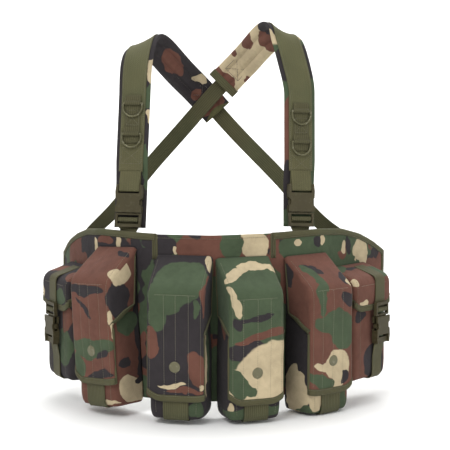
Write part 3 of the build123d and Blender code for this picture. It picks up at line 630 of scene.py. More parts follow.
class Sheet:
    """A grid of points in the middle of a cloth, its cloth places, and its outward normals."""

    def __init__(self, points, uv):
        self.points, self.uv, self.flip = np.array(points, float), np.array(uv, float), False

    def normals(self):
        down, right = np.gradient(self.points, axis=0), np.gradient(self.points, axis=1)
        normal = unit(np.cross(right, down))
        return -normal if self.flip else normal

    def face_out(self, row, col, wearer):
        """Turns the normals away from the wearer, judged at one point."""
        self.flip = bool(self.normals()[row, col] @ wearer > 0)

    def push(self, amount):
        """Moves every point outwards by its own amount."""
        self.points = self.points + self.normals() * amount[..., None]

    def at(self, rows, cols, lift=0.0):
        """Points and normals at fractional grid places."""
        rows = np.clip(np.asarray(rows, float), 0, self.points.shape[0] - 1.001)
        cols = np.clip(np.asarray(cols, float), 0, self.points.shape[1] - 1.001)
        r, c = rows.astype(int), cols.astype(int)
        fr, fc = (rows - r)[..., None], (cols - c)[..., None]
        normal = self.normals()

        def blend(grid):
            top = grid[r, c] * (1 - fc) + grid[r, c + 1] * fc
            low = grid[r + 1, c] * (1 - fc) + grid[r + 1, c + 1] * fc
            return top * (1 - fr) + low * fr

        out = unit(blend(normal))
        return blend(self.points) + out * lift, out

    def into(self, shape, thickness, split=()):
        """Adds the cloth as a closed skin. split holds (first column, last column, other cloth places)."""
        rows, cols = self.points.shape[:2]
        normal = self.normals()
        outer = self.points + normal * thickness / 2
        inner = self.points - normal * thickness / 2
        size, wide = rows * cols, cols - 1

        def index(r, c, side):
            return side * size + r * cols + c

        def place(r, c, cell):
            for first, last, other in split:
                if first <= cell < last:
                    return other[r, c]
            return self.uv[r, c]

        faces, uvs = [], []
        for r in range(rows - 1):
            for c in range(wide):
                ring = [(r, c), (r, c + 1), (r + 1, c + 1), (r + 1, c)]
                for side, corners in enumerate((ring[::-1], ring)):
                    faces.append([index(a, b, side) for a, b in corners])
                    uvs += [place(a, b, c) for a, b in corners]
        edges = [((0, c), (0, c + 1), c) for c in range(wide)]
        edges += [((rows - 1, c + 1), (rows - 1, c), c) for c in range(wide)]
        edges += [((r + 1, 0), (r, 0), 0) for r in range(rows - 1)]
        edges += [((r, cols - 1), (r + 1, cols - 1), wide - 1) for r in range(rows - 1)]
        for a, b, cell in edges:
            faces.append([index(*a, 0), index(*b, 0), index(*b, 1), index(*a, 1)])
            uvs += [place(*a, cell), place(*b, cell), place(*b, cell), place(*a, cell)]
        shape.add(np.concatenate([outer.reshape(-1, 3), inner.reshape(-1, 3)]), faces, uvs)


def loft(shape, rings, uv, closed=False):
    """Adds a tube through rings of points, shape (stations, points round, 3), capped or joined end to end."""
    stations, round_count = rings.shape[:2]
    faces, uvs = [], []
    for s in range(stations if closed else stations - 1):
        for k in range(round_count):
            n = (k + 1) % round_count
            corners = [(s, k), (s, n), (s + 1, n), (s + 1, k)]
            faces.append([a % stations * round_count + b for a, b in corners])
            uvs += [uv[a, b] for a, b in corners]
    for s in () if closed else (0, stations - 1):
        faces.append([s * round_count + k for k in range(round_count)])
        uvs += [uv[s, k] for k in range(round_count)]
    shape.add(rings, faces, uvs)


def tube_map(rings, across, along):
    """Cloth places of a tube: across round each ring, and along from station to station."""
    uv = np.zeros(rings.shape[:2] + (2,))
    uv[..., 0], uv[..., 1] = np.reshape(across, (1, -1)), np.reshape(along, (-1, 1))
    return uv


# Half of a webbing's section, from one edge: (distance in from the nearer edge, share of half the thickness)
SELVEDGE = ((0.0, 0.0), (0.5, 0.85), (1.6, 1.1), (3.2, 0.95))


def strap_profile(width, near, far):
    """A webbing section: flat faces, rounded edges and slightly fuller selvedges, as (across, depth)."""
    half, middle, t = width / 2, (near + far) / 2, (far - near) / 2
    face = [(x - half, bulge) for x, bulge in SELVEDGE] + [(x, 0.9) for x in (-half / 2, 0, half / 2)]
    face += [(half - x, bulge) for x, bulge in SELVEDGE[:0:-1]]
    top = [(x, middle - bulge * t) for x, bulge in face]
    low = [(x, middle + bulge * t) for x, bulge in face]
    return np.array(top + [(half, middle)] + low[:0:-1])


def strap(shape, sections, width, near=0.0, far=WEB_T):
    """Adds a flat strap of webbing along the sections."""
    profile = strap_profile(width, near, far)
    rings = sections.line[:, None] + sections.x[:, None] * profile[None, :, :1]
    rings = rings + sections.inward[:, None] * profile[None, :, 1:]
    loft(shape, rings, tube_map(rings, profile[:, 0], run_length(sections.line)))


def middle_strap(shape, sections, width):
    """Adds a strap whose middle follows the sections."""
    strap(shape, sections, width, -WEB_T / 2, WEB_T / 2)


def folded(place, path, step=2.0, radius=2.0):
    """Stations of a strap whose middle follows a path in a place's own Y and Z."""
    line = rounded(path, radius, step)
    points = place.at(np.column_stack([np.zeros(len(line)), line]))
    return Sections(points, np.repeat(place.x[None], len(points), axis=0))


def tape_profile(half, width):
    """A tape folded over an edge: (inwards from the edge, outwards from the cloth's middle)."""
    top = half + TAPE_T
    outer = [(width, half + 0.05), (width, top), (width * 0.5, top + 0.25), (1.0, top + 0.1),
             (-TAPE_T * 0.6, top * 0.72)]
    nose = [(-TAPE_T - 0.2, 0.0)]
    lower = [(a, -b) for a, b in outer[::-1]]
    inside = [(0.6, -half - 0.02), (0.3, 0.0), (0.6, half + 0.02)]
    return np.array(outer + nose + lower + inside)


def edge_tape(shape, points, normals, inward, half, width):
    """Adds a binding tape along an edge, of one width or a width for each point."""
    profiles = np.array([tape_profile(half, w) for w in np.broadcast_to(width, len(points))])
    rings = points[:, None] + inward[:, None] * profiles[..., :1] + normals[:, None] * profiles[..., 1:]
    loft(shape, rings, tube_map(rings, run_length(profiles[0]), run_length(points)))


def sheet_edge(sheet, cells):
    """Points, normals and inward directions along edge cells: (row, column, row inwards, column inwards)."""
    cells = np.array(cells, float)
    points, normals = sheet.at(cells[:, 0], cells[:, 1])
    inner, _ = sheet.at(cells[:, 2], cells[:, 3])
    inward = inner - points
    inward = unit(inward - normals * (inward * normals).sum(-1, keepdims=True))
    return points, normals, inward


STITCH_PITCH = 3.4
STITCH_LENGTH = 2.3
STITCH_R = 0.36
FACE_STITCH_R = 0.3


def stitches(shape, points, normals, pitch=STITCH_PITCH, length=STITCH_LENGTH, radius=STITCH_R):
    """Adds a row of thread stitches lying along a line of points on cloth."""
    far_along = run_length(points)
    if far_along[-1] < pitch:
        return
    middles = np.arange(pitch / 2, far_along[-1], pitch)

    def sample(values, where):
        return np.stack([np.interp(where, far_along, values[:, k]) for k in range(3)], axis=1)

    start, end = sample(points, middles - length / 2), sample(points, middles + length / 2)
    along, out = unit(end - start), unit(sample(normals, middles))
    side = unit(np.cross(along, out))
    rings = [(0.0, 0.35, -0.5), (0.3, 1.0, 0.35), (0.7, 1.0, 0.35), (1.0, 0.35, -0.5)]
    corners = [(1, 0), (0, 1), (-1, 0), (0, -1)]
    for i in range(len(middles)):
        verts = []
        for share, wide, high in rings:
            centre = start[i] + (end[i] - start[i]) * share + out[i] * radius * high
            verts += [centre + (side[i] * a + out[i] * b * 0.8) * radius * wide for a, b in corners]
        faces = [[r * 4 + k, r * 4 + (k + 1) % 4, r * 4 + 4 + (k + 1) % 4, r * 4 + 4 + k]
                 for r in range(3) for k in range(4)]
        faces += [[3, 2, 1, 0], [12, 13, 14, 15]]
        shape.add(verts, faces, [(0, 0)] * sum(len(f) for f in faces))


def edge_stitches(shape, sections, width, margin, depth, last=1.0):
    """A row of stitches along each edge of a strap's outer face, as far as a share of its stations."""
    stop = int(last * (len(sections.line) - 1)) + 1
    for x in (margin - width / 2, width / 2 - margin):
        stitches(shape, sections.at(x, depth)[:stop], -sections.inward[:stop])


def box_stitches(shape, corner, across, up, width, height, out, radius=FACE_STITCH_R):
    """A sewn box with a cross in it, from its corner."""
    across, up = unit(across) * width, unit(up) * height
    spots = [corner, corner + across, corner + across + up, corner + up, corner]
    for a, b in [*zip(spots, spots[1:]), (spots[0], spots[2]), (spots[1], spots[3])]:
        stitches(shape, np.array([a, b]), np.array([out, out]), pitch=2.6, length=1.9, radius=radius)


# ---------------------------------------------------------------- the wrap


def plan_corners(depth):
    """Corners of the wrap's plan line from the right wing to the left, moved depth towards the wearer."""

    def walk(runs, side):
        corners = [np.array(MIDDLE_SEAM)]
        for length, turn in runs:
            corners.append(corners[-1] + length * np.array([side * cos(radians(turn)), sin(radians(turn))]))
        return corners

    line = walk(RIGHT_RUNS, -1)[:0:-1] + walk(LEFT_RUNS, 1)
    headings = [atan2(*(b - a)[::-1]) for a, b in zip(line, line[1:])]
    moved = []
    for i, point in enumerate(line):
        before, after = headings[max(i - 1, 0)], headings[min(i, len(headings) - 1)]
        middle, half_turn = (before + after) / 2, (after - before) / 2
        moved.append(point + np.array([-sin(middle), cos(middle)]) * depth / cos(half_turn))
    return moved


def ripple(points, seed):
    """Creases of thick cloth: long soft ones and small ones on them."""
    return 0.9 * wave(points, 46.0, seed) + 0.35 * wave(points, 15.0, seed + 7)


WRAP_ROWS = 48
WRAP_STEP = 5.0
WRAP_CREASE = 0.45
WRAP_SET_BACK = 0.5  # keeps the wrap clear of the lids that open over it
CHECK_ROW = 20  # the row where a sheet's outward side is judged


def wrap_sheet(depth, shrink=0.0):
    """A cloth layer of the wrap at a depth behind its outer face, with the creases that all layers share."""
    plan = rounded(plan_corners(depth), BEND_R, WRAP_STEP)
    along = run_length(plan)
    along -= along[np.argmin(np.abs(plan[:, 0] - MIDDLE_SEAM[0]))]
    top = PANEL_TOP + np.interp(plan[:, 1], *WING_TOP) - shrink
    low = PANEL_BOTTOM + np.interp(plan[:, 1], *WING_BOTTOM) + shrink
    shares = np.linspace(0, 1, WRAP_ROWS)[:, None]
    heights = top[None] * (1 - shares) + low[None] * shares
    across, backwards = (np.broadcast_to(plan[None, :, k], heights.shape) for k in (0, 1))
    uv = np.stack([np.broadcast_to(along[None], heights.shape), heights], axis=-1)
    sheet = Sheet(np.stack([across, backwards, heights], axis=-1), uv)
    sheet.face_out(CHECK_ROW, len(plan) // 2, np.array([0.0, 1.0, 0.0]))
    spots = np.concatenate([uv, np.zeros(heights.shape + (1,))], axis=-1)
    sheet.push(WRAP_CREASE * ripple(spots, 1.0) - WRAP_SET_BACK)
    return sheet


threads = {"thread": Shape(), "dark_thread": Shape()}

for name, depth, thickness, shrink, material, slot, node in (
    ("chest_panel_cloth", PANEL_T / 2, PANEL_T, 0.0, "panel", "camouflage_cloth", "chest_panel"),
    ("panel_lining_cloth", PANEL_T + LINING_T / 2, LINING_T, 2.0, "lining", "lining_cloth", "panel_lining"),
):
    skin = Shape()
    wrap_sheet(depth, shrink).into(skin, thickness)
    skin.piece(name, MATERIALS[material], "rig", slot, [node])

# Binding over the wings' top, rear and lower edges, and a row of stitching along the middle's turned top edge
BINDING_W = 9.0
BINDING_ROW = 7.4  # from the wrap's edge to the binding's stitches
LOW_BARE = 14  # how many columns sooner the binding stops along the lower edge
HALF_WRAP = (PANEL_T + LINING_T) / 2
BARE_TOP = (-95.0, 79.0)  # the part of the top edge that has no binding, from right to left
middle_cloth = wrap_sheet(HALF_WRAP)
rows, cols = middle_cloth.points.shape[:2]
xs = middle_cloth.points[0, :, 0]
right_end, left_start = (int(np.argmax(xs > x)) for x in BARE_TOP)
tape = Shape()
for start, stop, corner in ((right_end, 0, 0), (left_start, cols - 1, cols - 1)):
    way = 1 if stop > start else -1
    cells = [(0, c, 2, c) for c in range(start, stop, way)]
    cells += [(0, corner, 2, corner - 2 * way)]
    cells += [(r, corner, r, corner - 2 * way) for r in range(1, rows - 1)]
    cells += [(rows - 1, corner, rows - 3, corner - 2 * way)]
    cells += [(rows - 1, c, rows - 3, c) for c in range(stop - way, start + LOW_BARE * way, -way)]
    points, normals, inward = sheet_edge(middle_cloth, cells)
    edge_tape(tape, points, normals, inward, HALF_WRAP, BINDING_W)
    for face in (1, -1):
        row = points + inward * BINDING_ROW + normals * (HALF_WRAP + TAPE_T + 0.1) * face
        stitches(threads["thread"], row, normals * face)
    # The tape turns down the wrap at its inner end
    points, normals, _ = sheet_edge(middle_cloth, [(r, start, r, start - way) for r in range(0, 8)])
    sides = np.stack([np.cross(normals[0], points[-1] - points[0])] * len(points))
    strap(tape, Sections(points + normals * (HALF_WRAP + 0.2), unit(sides)), BINDING_W, -0.5, 0.4)
tape.piece("panel_binding_tape", MATERIALS["tape"], "rig", "binding_tape", ["panel_binding"])
points, normals, inward = sheet_edge(middle_cloth, [(0, c, 2, c) for c in range(right_end, left_start)])
stitches(threads["thread"], points + inward * 5.0 + normals * 3.4, normals)

# ---------------------------------------------------------------- pouches


TUB_T = 2.0
TUB_CORNER_R = 12.0
TUB_COLUMNS = 70
TUB_SEAMS = (0.335, 0.665)  # the front corners, as shares of the way round
SIDE_FULLNESS = 1.6
FRONT_FULLNESS = 0.3
FULL_OVER = 25.0  # height over which a tub grows full
WALL_ROWS, MOUTH_ROWS = 24, 14
UNDER_LID = 1.3  # how far the walls are set back where the lid covers them
# The floor's soft edge, as (height above the bottom, distance in from the walls)
FLOOR_EDGE = ((1.0, 26.0), (1.0, 14.0), (1.4, 7.0), (3.0, 3.6), (6.0, 1.8), (10.0, 0.8), (15.0, 0.2))


def tub_loop(size, inset, fullness=0.0):
    """Plan of a pouch from its back left corner round the front, shrunk by inset, its sides a little full."""
    half, depth = size["width"] / 2 - inset, size["depth"] - inset
    back = -min(inset, 1.5)
    corners = [(-half, back), (-half, -depth), (half, -depth), (half, back)]
    line = resampled(rounded(corners, TUB_CORNER_R - min(inset, 8), 3.0), TUB_COLUMNS)
    swell = np.zeros(len(line))
    sides = np.abs(line[:, 0]) > half - 0.5
    swell[sides] = np.sin(pi * np.clip(-line[sides, 1] / depth, 0, 1))
    line[:, 0] += np.sign(line[:, 0]) * swell * SIDE_FULLNESS * fullness
    fronts = line[:, 1] < -depth + 0.5
    line[fronts, 1] -= FRONT_FULLNESS * fullness * np.cos(line[fronts, 0] / half * pi / 2)
    return line


def resampled(line, count):
    """A line with its points spread evenly."""
    far_along = run_length(line)
    stops = np.linspace(0, far_along[-1], count)
    return np.stack([np.interp(stops, far_along, line[:, k]) for k in range(line.shape[1])], axis=1)


def tub_sheet(place, size, seed):
    """An open pouch: walls on three sides, and a floor with a soft edge that closes the front and sides."""
    levels = [(size["bottom"] + height, inset) for height, inset in FLOOR_EDGE]
    levels += [(height, 0.0) for height in np.linspace(size["bottom"] + 20, 0, WALL_ROWS)]
    grid, uv = [], []

    def add_row(line, height, v):
        along = run_length(line)
        grid.append(np.column_stack([line, np.broadcast_to(height, TUB_COLUMNS)]))
        uv.append(np.column_stack([along - along[-1] / 2, np.broadcast_to(v, TUB_COLUMNS)]))

    for height, inset in levels:
        fullness = np.clip((size["full_below"] - height) / FULL_OVER, 0, 1)
        add_row(tub_loop(size, inset + 1.0, fullness), height, height - inset * 0.7)
    # From level 0 the walls rise to a mouth that slopes down to the front
    line = tub_loop(size, 1.0)
    share_back = np.clip(1 + line[:, 1] / size["depth"], 0, 1)
    mouth = size["mouth_front"] + (size["mouth_back"] - size["mouth_front"]) * share_back
    for share in np.linspace(0, 1, MOUTH_ROWS)[1:]:
        add_row(line, mouth * share, mouth * share)
    local = np.array(grid)
    sheet = Sheet(place.at(local), uv)
    sheet.face_out(CHECK_ROW, TUB_COLUMNS // 2, place.y)
    # The cloth lies flatter, and never outwards, where the lid covers it
    sag = ripple(local + place.origin, seed)
    covered = np.clip((local[..., 2] - size["full_below"] + 10) / 20, 0, 1)
    sheet.push(0.5 * sag * (1 - covered) - (UNDER_LID + 0.1 * np.abs(sag)) * covered)
    return sheet


def tub(name, place, size, material, seed):
    """A pouch's tub: its walls, the flat middle of its floor, and a seam round each front corner."""
    sheet = tub_sheet(place, size, seed)
    shape = Shape()
    sheet.into(shape, TUB_T)
    half, depth, bottom = size["width"] / 2 - 17, size["depth"], size["bottom"] + 1.0
    grid_x, grid_y = np.meshgrid(np.linspace(-half, half, 14), np.linspace(-depth + 22, -1.0, 10))
    local = np.stack([grid_x, grid_y, np.full_like(grid_x, bottom)], axis=-1)
    Sheet(place.at(local), np.stack([grid_x, grid_y + bottom], axis=-1)).into(shape, TUB_T)
    shape.piece(f"{name}_shell", material, "rig", "camouflage_cloth", [f"{name}_body"])
    rows_at = np.arange(5, len(sheet.points) - 1)
    for share in TUB_SEAMS:
        cols_at = np.full(len(rows_at), share * (TUB_COLUMNS - 1))
        stitches(threads["thread"], *sheet.at(rows_at, cols_at, TUB_T / 2 + 0.05))


# Columns of a lid from its edge to its middle: an ear, a rounded corner, and the front between the corners
EAR_CELLS = 12
ARC_CELLS = 3
FRONT_CELLS = 22
FRONT_FIRST = EAR_CELLS + ARC_CELLS
FRONT_LAST = FRONT_FIRST + FRONT_CELLS
LID_CORNER_R = 5.0
LID_FOLD_R = 13.0
LID_OVERHANG = 1.4  # from a pouch's side to its lid's
EAR_TAPE = (3.2, 3.4, 7.4, 7.8)  # widths of an ear's binding from its back to its front
EAR_TAPE_AT = (0.0, 0.6, 0.72, 1.0)
LID_BOUND = 9.0  # width of the binding on a lid's lower edge
LID_GROOVE = 0.55  # how deep the flap's sewn lines are
# How far creases may go inwards, on an ear and on the front
EAR_CREASE_IN, FRONT_CREASE_IN = 0.3, 0.6
EAR_CREASE = 0.7  # an ear's creases, as a share of the front's
CALM_NEAR_HINGE = 22.0
CALM_NEAR_EDGE = 14.0
CORNER_CUT_W = 20.0  # width of the curve that cuts up each lower corner


def lid_sheet(place, size, seed, cuts):
    """A lid's sheet: its slope, its front flap, and an ear at each side.

    Also gives the distance down the lid at each row, the row that ends the ears, and the ears' cloth places.
    """
    front = -size["depth"] - LID_STAND
    fold, bottom, hinge = size["fold"] + 0.9, size["lid_bottom"], size["hinge"] + 0.9
    path = rounded([(-HINGE_BACK, hinge), (front, fold), (front, bottom)], LID_FOLD_R, 3.6)
    far_along = run_length(path)
    rows = len(path)
    slope = lid_slope(size)
    half, radius = size["width"] / 2 + LID_OVERHANG, LID_CORNER_R
    tangent = unit(np.gradient(path, axis=0))
    inward = np.column_stack([-tangent[:, 1], tangent[:, 0]])
    inward *= np.sign(inward[-1, 0])
    begin = path + inward * radius
    # The edge that each row's ear reaches to
    ear_edge = np.array([(-HINGE_BACK - 0.6, hinge - 7), (-10.0, size["ear_back"]),
                         (-0.75 * size["depth"], size["ear_front"] + 6), (front + 4.5, size["ear_front"])])
    ear_end = int(np.argmax(path[:, 1] < size["ear_front"]))
    reach = path + inward * 4.5
    reach[: ear_end + 1] = resampled(ear_edge, ear_end + 1)
    grid = np.zeros((rows, FRONT_LAST + FRONT_FIRST + 1, 3))
    uv = np.zeros(grid.shape[:2] + (2,))
    along_v = fold + slope - far_along

    def set_column(col, x, yz, u, v):
        grid[:, col, 0], grid[:, col, 1:] = x, yz
        uv[:, col, 0], uv[:, col, 1] = u, v

    for side, edge in ((-1, FRONT_FIRST), (1, FRONT_LAST)):
        for k in range(1, ARC_CELLS + 1):
            angle = k / ARC_CELLS * pi / 2
            yz = path + inward * radius * (1 - cos(angle))
            x, u = (side * (half - radius + radius * bend) for bend in (sin(angle), angle))
            set_column(edge + side * k, x, yz, u, along_v)
        for k in range(1, EAR_CELLS + 1):
            share = k / EAR_CELLS
            yz = begin * (1 - share) + reach * share
            u = side * (half + yz[:, 0] - front)
            set_column(edge + side * (ARC_CELLS + k), side * half, yz, u, yz[:, 1])
    # The front keeps flat columns, swelling a little over what the pouch holds
    for i, x in enumerate(np.linspace(-half + radius, half - radius, FRONT_CELLS + 1)):
        crown = (1 - (x / half) ** 2) * np.sin(pi * np.clip(far_along / far_along[-1], 0, 1) ** 0.8)
        set_column(FRONT_FIRST + i, x, path - inward * (size["crown"] * crown)[:, None], x, along_v)
    # Its lower corners are cut away in a curve
    cut = np.where(grid[..., 0] < 0, cuts[0], cuts[1])
    from_middle = np.abs(grid[..., 0])
    lift = cut * np.clip((from_middle - half + CORNER_CUT_W) / CORNER_CUT_W, 0, 1) ** 1.8
    flap = np.clip((fold - 20 - grid[..., 2]) / (fold - 20 - bottom), 0, 1)
    in_front = (far_along > slope + 8)[:, None]
    grid[..., 2] += np.where(in_front, lift * flap, 0)
    # An ear is a separate piece of cloth, printed flat in its own plane
    ear_uv = uv.copy()
    for side, col in ((-1, EAR_CELLS), (1, FRONT_LAST + ARC_CELLS)):
        ear_uv[:, col] = np.column_stack([side * (half + begin[:, 0] - front), begin[:, 1]])
    sheet = Sheet(place.at(grid), uv)
    sheet.face_out(rows // 2, FRONT_FIRST + FRONT_CELLS // 2, place.y)
    calm = np.clip(far_along / CALM_NEAR_HINGE, 0, 1)[:, None]
    crease = size["crease"] * ripple(grid + place.origin, seed)
    # Creases hardly go inwards, the ears' least of all. A side lid's lower edge is tucked in behind its buckle
    columns = np.arange(grid.shape[1])
    ears = (columns < FRONT_FIRST) | (columns > FRONT_LAST)
    ear_crease = np.maximum(crease * EAR_CREASE, -EAR_CREASE_IN)
    crease = np.where(ears[None], ear_crease, np.maximum(crease, -FRONT_CREASE_IN))
    crease *= np.clip((far_along[-1] - far_along) / CALM_NEAR_EDGE, 0.2, 1)[:, None]
    tuck = np.clip((far_along - far_along[-1] + 16) / 12, 0, 1)[:, None] * size["tuck"]
    sheet.push(calm * crease - tuck * ~ears[None])
    split = [(0, EAR_CELLS, ear_uv), (FRONT_LAST + ARC_CELLS, FRONT_LAST + FRONT_FIRST, ear_uv)]
    return sheet, far_along, ear_end, split


def lid_slope(size):
    """Length of a lid's slope, from its hinge to its fold."""
    return np.hypot(size["depth"] + LID_STAND - HINGE_BACK, size["hinge"] - size["fold"])


def lid(name, place, size, material, seed, lines=(), cuts=(8.0, 8.0), across=6.0):
    """A lid's cloth, binding and stitching. across is how far below the fold a row of it crosses the lid."""
    body = BODY_OF[name]
    face = CLOTH_T / 2
    sheet, far_along, ear_end, split = lid_sheet(place, size, seed, cuts)
    rows, cols = sheet.points.shape[:2]
    flap_rows = np.arange(int(np.argmax(far_along > lid_slope(size) + across)), rows - 1)
    line_cols = [FRONT_FIRST + share * FRONT_CELLS for share in lines]
    for col in line_cols:
        groove = np.zeros((rows, cols))
        groove[flap_rows, int(round(col))] = -LID_GROOVE
        sheet.push(groove)
    shape, tape, sewn, pale = Shape(), Shape(), Shape(), Shape()
    sheet.into(shape, CLOTH_T, split)
    shape.piece(f"{name}_cloth", material, body, "camouflage_cloth", [name])

    def bind(cells, width, row=None):
        """Binds an edge, and sews a row near the tape's inner edge."""
        points, normals, inward = sheet_edge(sheet, cells)
        if np.ndim(width):
            along = run_length(points)
            width = np.interp(along / along[-1], EAR_TAPE_AT, width)
        edge_tape(tape, points, normals, inward, face, width)
        if row is not None:
            near = np.reshape(width - row, (-1, 1))
            stitches(sewn, points + inward * near + normals * (face + TAPE_T + 0.15), normals)

    def sew(shape, rows_at, cols_at, radius=STITCH_R):
        rows_at, cols_at = np.broadcast_arrays(rows_at, cols_at)
        stitches(shape, *sheet.at(rows_at, cols_at, face), radius=radius)

    for col, inner in ((0, 3), (cols - 1, cols - 4)):
        bind([(r, col, r, inner) for r in range(1, ear_end + 1)], EAR_TAPE, 1.3)
        bind([(r, col, r, inner) for r in range(ear_end, rows)], 2.6)
    bind([(rows - 1, c, rows - 4, c) for c in range(0, cols)], LID_BOUND, 1.6)
    tape.piece(f"{name}_binding", MATERIALS["tape"], body, "binding_tape")
    # Rows of stitching down the flap, one across it, and one along each front corner
    for col in line_cols:
        sew(pale, flap_rows, col, FACE_STITCH_R)
    sew(pale, float(flap_rows[0]), np.linspace(FRONT_FIRST + 2, FRONT_LAST - 2, 40), FACE_STITCH_R)
    for col in (FRONT_FIRST - 0.5, FRONT_LAST + 0.5):
        sew(sewn, np.arange(3, rows - 3), col)
    sewn.piece(f"{name}_edge_stitching", MATERIALS["thread"], body, "binding_tape")
    pale.piece(f"{name}_face_stitching", MATERIALS["pale_thread"], body, "camouflage_cloth")
    return sheet, far_along


def pouch(name, size, lid_patches, seeds, **lid_details):
    """A pouch's tub and lid. seeds are for the tub's print, the lid's print, then each one's creases."""
    place = hinge_place(f"{name}_lid_hinge", size["hinge"])
    tub_cloth = camo(f"{name}_tub_print", TUB_PATCHES[name], seeds[0])
    lid_cloth = camo(f"{name}_lid_print", lid_patches, seeds[1], loose=False)
    tub(name, place, size, tub_cloth, seeds[2])
    return place, *lid(f"{name}_lid", place, size, lid_cloth, seeds[3], **lid_details)


MAG_LINES = {"pouch_1": (0.25, 0.5, 0.8), "pouch_2": (0.28, 0.52, 0.78), "pouch_3": (0.2, 0.5, 0.78),
             "pouch_4": (0.22, 0.5, 0.76)}
# Half of a snap cap's section, as (radius, height), from under its rim to its top
SNAP_DOME = [(0.2, -1.2), (SNAP_R - 0.8, -1.2), (SNAP_R, 0.2), (SNAP_R, 0.9), (SNAP_R - 0.5, 1.5),
             (SNAP_R - 1.6, 1.9), (SNAP_R - 2.3, 1.65), (SNAP_R - 3.0, 1.9), (3.6, 2.3), (1.8, 2.45),
             (0.2, 2.5)]
SNAP_STEPS = 40
turns = np.linspace(0, 2 * pi, SNAP_STEPS, endpoint=False)
snap_rings = np.array([[(r * cos(a), r * sin(a), height) for a in turns] for r, height in SNAP_DOME])
strips = Shape()
for number, name in enumerate(LID_PATCHES):
    size = dict(MAG, lid_bottom=LID_BOTTOM[name])
    seeds = [first + number for first in (30.0, 40.0, 3.0, 11.0)]
    place, sheet, far_along = pouch(name, size, LID_PATCHES[name], seeds, lines=MAG_LINES[name],
                                    cuts=LID_CORNERS[name], across=ACROSS_ROW[name])
    # The snap's cap stands on the flap's face
    snap_row = float(np.argmax(far_along > lid_slope(size) + MAG["fold"] - SNAP_Z[name]))
    point, out = sheet.at([snap_row], [FRONT_FIRST + FRONT_CELLS / 2], CLOTH_T / 2 - 0.4)
    snap = Place(point[0], place.x, np.cross(out[0], place.x), out[0])
    shape = Shape()
    loft(shape, snap.at(snap_rings), np.zeros(snap_rings.shape[:2] + (2,)))
    body = BODY_OF[f"{name}_lid"]
    shape.piece(f"{name}_snap_dome", MATERIALS["snap"], body, "snap_metal", [f"{name}_snap_cap"])
    # Webbing strip down the front and under the bottom
    front = -MAG["depth"] - 1.5
    path = [(front, STRIP_TOP), (front, MAG["bottom"] + 7), (front + 4, MAG["bottom"] - 0.4),
            (front + 12, MAG["bottom"] - 0.9), (-30, MAG["bottom"] - 0.9)]
    stations = folded(place, path, 3.0, 7.0)
    middle_strap(strips, stations, STRIP_W)
    edge_stitches(threads["thread"], stations, STRIP_W, 2.2, -WEB_T / 2 - 0.1)
strips.piece("pouch_front_strips", MATERIALS["narrow"], "rig", "olive_webbing", ["pouch_front_webbing"])


def recoat(node, material):
    """Gives a hard CAD piece that keeps its own shape a new material."""
    materials = frame["nodes"][node].data.materials
    materials.clear()
    materials.append(material)


recoat("snap_studs", MATERIALS["snap"])

lower = Shape()
for hand in ("right", "left"):
    name = f"side_pouch_{hand}"
    seeds = [first + len(hand) for first in (50.0, 60.0, 17.0, 23.0)]
    place, _, _ = pouch(name, SIDE, SIDE_LID_PATCHES[name], seeds)
    body = BODY_OF[f"{name}_lid"]
    strap_place = Place(place.at((SIDE_STRAP_X[hand], 0.0, 0.0)), place.x, place.y, place.z)
    lid_front = -SIDE["depth"] - LID_STAND - 0.9
    # The lid's strap, down to its plug
    slope_start = -HINGE_BACK - 10.0
    fall = (SIDE["hinge"] - SIDE["fold"]) * 10.0 / (-lid_front - HINGE_BACK)
    path = [(slope_start, SIDE["hinge"] + 2.3 - fall), (lid_front - 1.4, SIDE["fold"] + 3.0),
            (lid_front - 1.9, SIDE["fold"] - 14), (lid_front - 1.9, SIDE_BUCKLE_Z + 24),
            (lid_front - 0.8, SIDE_BUCKLE_Z + 12)]
    shape = Shape()
    stations = folded(strap_place, path, 3.0, 8.0)
    middle_strap(shape, stations, NARROW_WEB)
    mouth = strap_place.at((0.0, -SIDE["depth"] - SIDE_BUCKLE_STAND, SIDE_BUCKLE_Z))
    middle_strap(shape, folded(Place(mouth, -place.x, -place.z, -place.y), LADDER_PATH, 1.2, 1.6), NARROW_WEB)
    shape.piece(f"{name}_lid_webbing", MATERIALS["narrow"], body, "olive_webbing", [f"{name}_lid_strap"])
    sewn = Shape()
    edge_stitches(sewn, stations, NARROW_WEB, 2, -WEB_T / 2 - 0.1, 0.62)
    sewn.piece(f"{name}_lid_webbing_stitching", MATERIALS["thread"], body, "olive_webbing")
    # Webbing up the pouch's front to the buckle's bar
    low_slot = SIDE_BUCKLE_Z - BUCKLE_BAR[1] - 1.2
    front = -SIDE["depth"] - 2.2
    path = [(front - 3.4, low_slot + 0.4), (front - 1.4, low_slot - 12), (front, low_slot - 22),
            (front + 0.2, SIDE["bottom"] + 5), (front + 6, SIDE["bottom"] - 0.8), (-20, SIDE["bottom"] - 0.9)]
    middle_strap(lower, folded(strap_place, path, 3.0, 7.0), NARROW_WEB)
lower.piece("side_pouch_lower_strips", MATERIALS["narrow"], "rig", "olive_webbing",
            ["side_pouch_lower_webbing"])

# ---------------------------------------------------------------- shoulder harness


def run_place(hand, height):
    """Axes on the outer face of a strap's straight front run: X across, Y up the strap, Z outwards."""
    foot, head, turn = FRONT_RUN[hand]
    foot, head = np.array(foot, float), np.array(head, float)
    along = unit(head - foot)
    across = np.array([cos(radians(turn)), sin(radians(turn)), 0.0])
    across = unit(across - along * (across @ along))
    spot = foot + (head - foot) * ((height - foot[2]) / (head[2] - foot[2]))
    return Place(spot, across, along, np.cross(across, along))


def run_sections(hand, low, high, step=4.5):
    """Stations along a strap's straight front run, without the last."""
    count = max(2, int((high - low) / step))
    places = [run_place(hand, height) for height in np.linspace(low, high, count + 1)[:-1]]
    return Sections.known([p.origin for p in places], [p.x for p in places], [-p.z for p in places])


